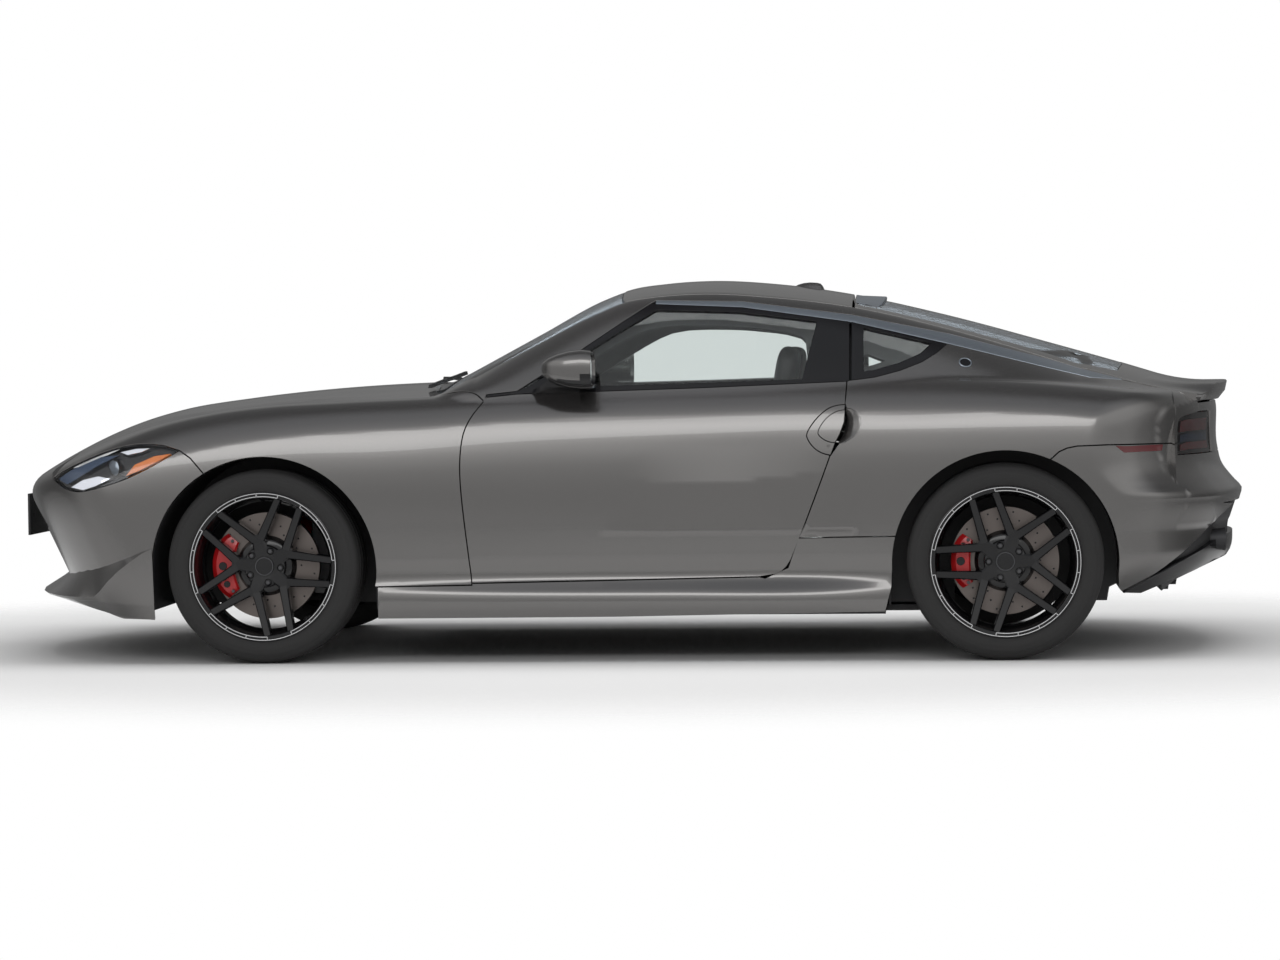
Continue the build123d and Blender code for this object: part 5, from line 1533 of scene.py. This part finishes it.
class CAR_OT_rear(BuildStep, bpy.types.Operator):
    """Quarter panels, hatch, rear bumper, diffuser and tail lamps."""

    bl_idname = "car.rear"
    bl_label = "Rear"

    def build(self, settings):
        emit("quarter_skins", both(quarter_mesh()), ["body_paint"], "shell", ["quarter_panels"])
        emit("sill_skins", both(sill_mesh()), ["body_paint"], "shell", ["sills"])
        emit("hatch_skin", join(hatch_mesh(), rear_face_mesh()), ["body_paint"], "hatch", ["hatch_panel"])
        emit("hatch_pane", hatch_glass_mesh(), ["screen_glass_painted_sky"], "hatch", ["hatch_glass"])
        emit("rear_bumper_cover", rear_bumper_mesh(), ["body_paint"], "shell", ["rear_bumper"])
        emit("diffuser_skin", diffuser_mesh(), ["dark_plastic", "gloss_black"], "shell")
        emit("exhaust_pipes", exhaust_mesh(), ["chassis_steel"], "shell", ["exhaust"])
        emit("tail_lamp_lenses", both(tail_lamp_mesh()), ["lamp_smoked"], "shell", ["tail_lamps"])
        emit("tail_lamp_bowls", both(tail_lamp_inside()), ["gloss_black", "red_lens", "lamp_film"], "shell")
        emit("duck_tail", spoiler_mesh(), ["body_paint"], "hatch", sharp=30)
        emit("hatch_cap", hatch_cap_mesh(), ["silver_trim_painted_sky"], "hatch", sharp=30)
        emit("side_markers", both(flat_piece(MARKER, RING, thick=0.006, spacing=0.012, gap=0.0005,
                                             lift=0.0018)), ["red_lens"], "shell")
        emit("handle_scoops", both(scoop_mesh()), ["body_paint"], "shell")
        emit("pillar_discs", both(disc_badge_mesh()), ["gloss_black", "silver_trim_painted_sky"], "shell")


TYRE_WIDTH = {"front": 0.255, "rear": 0.275}
TRACK = {"front": 1.554, "rear": 1.564}
FIRST_STEM = {"front": 31.0, "rear": 0.0}


class CAR_OT_wheels(BuildStep, bpy.types.Operator):
    """Tyres, rims and brakes."""

    bl_idname = "car.wheels"
    bl_label = "Wheels"

    def build(self, settings):
        for axle, x in AXLE.items():
            half = TYRE_WIDTH[axle] / 2
            at = Matrix.Translation((x, -TRACK[axle] / 2, WHEEL_RADIUS))
            for side in SIDES:
                body = f"{axle}_{side}_wheel"
                emit(f"{axle}_{side}_rim", handed(rim_mesh(half, FIRST_STEM[axle]), side, at),
                     ["wheel_black", "machined", "nut_steel"], body, [f"{axle}_rim_{side}"], sharp=28)
                emit(f"{axle}_{side}_tyre", handed(tyre_mesh(half), side, at), ["tyre"], body,
                     [f"{axle}_tyre_{side}"], sharp=28)
                emit(f"{axle}_{side}_disc", handed(disc_mesh(half), side, at), ["disc_iron", "gloss_black"],
                     body, [f"{axle}_brake_disc_{side}"])
            for side in SIDES:
                body, nodes = "shell", ["rear_calipers"] if side == "left" else ()
                if axle == "front":
                    body, nodes = f"front_{side}_knuckle", [f"front_caliper_{side}"]
                emit(f"{axle}_{side}_caliper", handed(caliper_mesh(axle, half), side, at),
                     ["caliper_red", "gloss_black", "nut_steel"], body, nodes, sharp=28)


class CAR_OT_cabin(BuildStep, bpy.types.Operator):
    """Lining, seats and the pieces in front of them."""

    bl_idname = "car.cabin"
    bl_label = "Cabin"

    def build(self, settings):
        emit("cabin_lining", lining_mesh(), ["cabin_plastic"], "shell")
        replaced = ["seats"]
        for name, side in SIDES.items():
            for piece, pad in seat_pads(side):
                emit(f"{name}_seat_{piece}", pad, ["seat_leather"], "shell", replaced, sharp=80)
                replaced = []
        for letter, hand in HANDS.items():
            for piece, size, power, pitch, x, z in REAR_PADS:
                pad = pillow(size, power, pitch, (x, hand * REAR_SEAT_Y, z))
                name = f"rear_seat_{piece}_{letter}"
                emit(name, pad, ["seat_leather"], "shell", sharp=80)
        finish_nodes("cabin_plastic", "dashboard", "steering_wheel")


class CAR_OT_running_gear(BuildStep, bpy.types.Operator):
    """Finishes of the pieces that are shown as the frame has them."""

    bl_idname = "car.running_gear"
    bl_label = "Running gear"

    def build(self, settings):
        finish_nodes("chassis_steel", "front_subframe", "rear_suspension", "front_knuckle_left",
                     "front_knuckle_right")
        finish_nodes("engine_alloy", "engine")
        finish_nodes("dark_plastic", "wheelhouses", "cowl_panel", "floor_pan", "plate_bracket",
                     "front_grille", "rear_diffuser")


# What metal and glass see, by the ray's upward share: -1 is straight down
ROOM = [(-1.0, (0.52, 0.52, 0.52)), (-0.06, (0.57, 0.57, 0.57)), (0.06, (0.64, 0.64, 0.64)),
        (0.20, (0.90, 0.90, 0.90)),
        (0.46, (1.0, 1.0, 1.0)), (0.66, (0.60, 0.61, 0.63)), (1.0, (0.40, 0.415, 0.44))]
FLOOR_REACH = 30
LENS = 101.22
CAMERA_AT = (1.0251, -13.155, 1.054)
CAMERA_YAW, CAMERA_PITCH, CAMERA_ROLL = 0.0756, -0.035, -0.0115


def camera_matrix():
    cy, sy = math.cos(CAMERA_YAW), math.sin(CAMERA_YAW)
    cp, sp = math.cos(CAMERA_PITCH), math.sin(CAMERA_PITCH)
    cr, sr = math.cos(CAMERA_ROLL), math.sin(CAMERA_ROLL)
    ahead, right, up = Vector((-sy, cy, 0)), Vector((cy, sy, 0)), Vector((0, 0, 1))
    forward, upward = ahead * cp + up * sp, up * cp - ahead * sp
    side, top = right * cr + upward * sr, upward * cr - right * sr
    turn = Matrix((side, top, -forward)).transposed().to_4x4()
    return Matrix.Translation(CAMERA_AT) @ turn


class CAR_OT_stage(BuildStep, bpy.types.Operator):
    """Floor, light and camera."""

    bl_idname = "car.stage"
    bl_label = "Stage"

    def build(self, settings):
        scene = bpy.context.scene
        scene.view_settings.view_transform = "Standard"
        camera = bpy.data.objects.new("camera", bpy.data.cameras.new("camera"))
        camera.data.lens = LENS
        camera.data.sensor_width = 36
        camera.matrix_world = camera_matrix()
        scene.collection.objects.link(camera)
        scene.camera = camera
        floor = bpy.data.meshes.new("floor")
        corners = [(x * FLOOR_REACH, y * FLOOR_REACH, 0) for x, y in ((-1, -1), (1, -1), (1, 1), (-1, 1))]
        floor.from_pydata(corners, [], [(0, 1, 2, 3)])
        floor.materials.append(self.floor_material())
        ground = bpy.data.objects.new("floor", floor)
        ground.location.z = -0.0005
        scene.collection.objects.link(ground)
        for name, place, size, power, tilt in (
                ("over", (0.2, -0.2, 4.6), (6.5, 2.6), settings.key, (0, 0, 0)),
                ("near_side", (-0.4, -6.0, 3.0), (8.0, 1.3), settings.key * 0.36, (math.radians(66), 0, 0)),
                ("far_side", (0.5, 6.0, 3.4), (7.0, 1.4), settings.key * 0.3, (math.radians(-62), 0, 0))):
            light = bpy.data.lights.new(name, "AREA")
            light.shape = "RECTANGLE"
            light.size, light.size_y = size
            light.energy = power
            lamp = bpy.data.objects.new(name, light)
            lamp.location = place
            lamp.rotation_euler = tilt
            lamp.visible_glossy = name == "near_side"
            scene.collection.objects.link(lamp)
        self.world(settings)

    def floor_material(self):
        """Pale near the car, where it takes the shadow, and fading into the background further out."""
        made = bpy.data.materials.new("floor")
        tree = emptied(made)
        output = node(tree, "ShaderNodeOutputMaterial")
        place = node(tree, "ShaderNodeTexCoord")
        spread = node(tree, "ShaderNodeMapping", [("Scale", (0.30, 0.42, 1.0))])
        length = node(tree, "ShaderNodeVectorMath", operation="LENGTH")
        fade = node(tree, "ShaderNodeMapRange", [("From Min", 0.75), ("From Max", 1.35)],
                    interpolation_type="SMOOTHSTEP")
        near = node(tree, "ShaderNodeBsdfDiffuse", [("Color", colour((0.80, 0.80, 0.80)))])
        far = node(tree, "ShaderNodeBsdfTransparent")
        mix = node(tree, "ShaderNodeMixShader")
        wire(tree, (place, "Object", spread, "Vector"), (spread, "Vector", length, 0),
             (length, "Value", fade, "Value"),
             (fade, "Result", mix, "Fac"), (near, "BSDF", mix, 1), (far, "BSDF", mix, 2),
             (mix, "Shader", output, "Surface"))
        return made

    def world(self, settings):
        """White behind the car. Metal and glass see a pale room, darker overhead and on the far side."""
        world = bpy.data.worlds.new("studio")
        bpy.context.scene.world = world
        tree = emptied(world)
        white = colour((1.0, 1.0, 1.0))
        output = node(tree, "ShaderNodeOutputWorld")
        background = node(tree, "ShaderNodeBackground", [("Color", white)])
        path = node(tree, "ShaderNodeLightPath")
        seen = node(tree, "ShaderNodeMath", operation="MAXIMUM")
        place = node(tree, "ShaderNodeTexCoord")
        split = node(tree, "ShaderNodeSeparateXYZ")
        rise = node(tree, "ShaderNodeMapRange", [("From Min", -1.0)])
        back = node(tree, "ShaderNodeMapRange", [("From Min", -0.3), ("From Max", 0.3), ("To Min", 1.0),
                                                 ("To Max", 0.22)], interpolation_type="SMOOTHSTEP")
        dim = node(tree, "ShaderNodeMix", data_type="RGBA", blend_type="MULTIPLY")
        dim.inputs["Factor"].default_value = 1.0
        lit = node(tree, "ShaderNodeMix", data_type="RGBA")
        lit.inputs["A"].default_value = colour((settings.sky,) * 3)
        shown = node(tree, "ShaderNodeMix", data_type="RGBA")
        shown.inputs["B"].default_value = white
        ramp = node(tree, "ShaderNodeValToRGB")
        ramp.color_ramp.interpolation = "EASE"
        stops = ramp.color_ramp.elements
        stops[0].position, stops[0].color = 0.0, colour(ROOM[0][1])
        stops[1].position, stops[1].color = 1.0, colour(ROOM[-1][1])
        for height, shade in ROOM[1:-1]:
            stops.new((height + 1) / 2).color = colour(shade)
        wire(tree, (path, "Is Camera Ray", seen, 0), (path, "Is Transmission Ray", seen, 1),
             (place, "Generated", split, "Vector"), (split, "Z", rise, "Value"), (split, "Y", back, "Value"),
             (rise, "Result", ramp, "Fac"), (ramp, "Color", dim, "A"), (back, "Result", dim, "B"),
             (path, "Is Glossy Ray", lit, "Factor"), (dim, "Result", lit, "B"),
             (seen, "Value", shown, "Factor"),
             (lit, "Result", shown, "A"), (shown, "Result", background, "Color"),
             (background, "Background", output, "Surface"))


STEPS = (CAR_OT_paint, CAR_OT_front, CAR_OT_doors, CAR_OT_cabin_skin, CAR_OT_cabin, CAR_OT_rear,
         CAR_OT_wheels, CAR_OT_running_gear,
         CAR_OT_stage)


class CAR_PT_panel(bpy.types.Panel):
    bl_idname = "CAR_PT_panel"
    bl_label = "Fastback Coupe"
    bl_space_type = "VIEW_3D"
    bl_region_type = "UI"
    bl_category = "Coupe"

    def draw(self, context):
        settings = context.scene.coupe
        for prop in ("paint", "caliper", "leather", "sky", "key"):
            self.layout.prop(settings, prop)
        for step in STEPS:
            self.layout.operator(step.bl_idname)


CLASSES = (CoupeSettings, *STEPS, CAR_PT_panel)


def register():
    for cls in CLASSES:
        bpy.utils.register_class(cls)
    bpy.types.Scene.coupe = bpy.props.PointerProperty(type=CoupeSettings)


def unregister():
    del bpy.types.Scene.coupe
    for cls in reversed(CLASSES):
        bpy.utils.unregister_class(cls)


def main():
    register()
    for step in STEPS:
        getattr(bpy.ops.car, step.bl_idname.split(".")[1])()


if __name__ == "__main__":
    main()
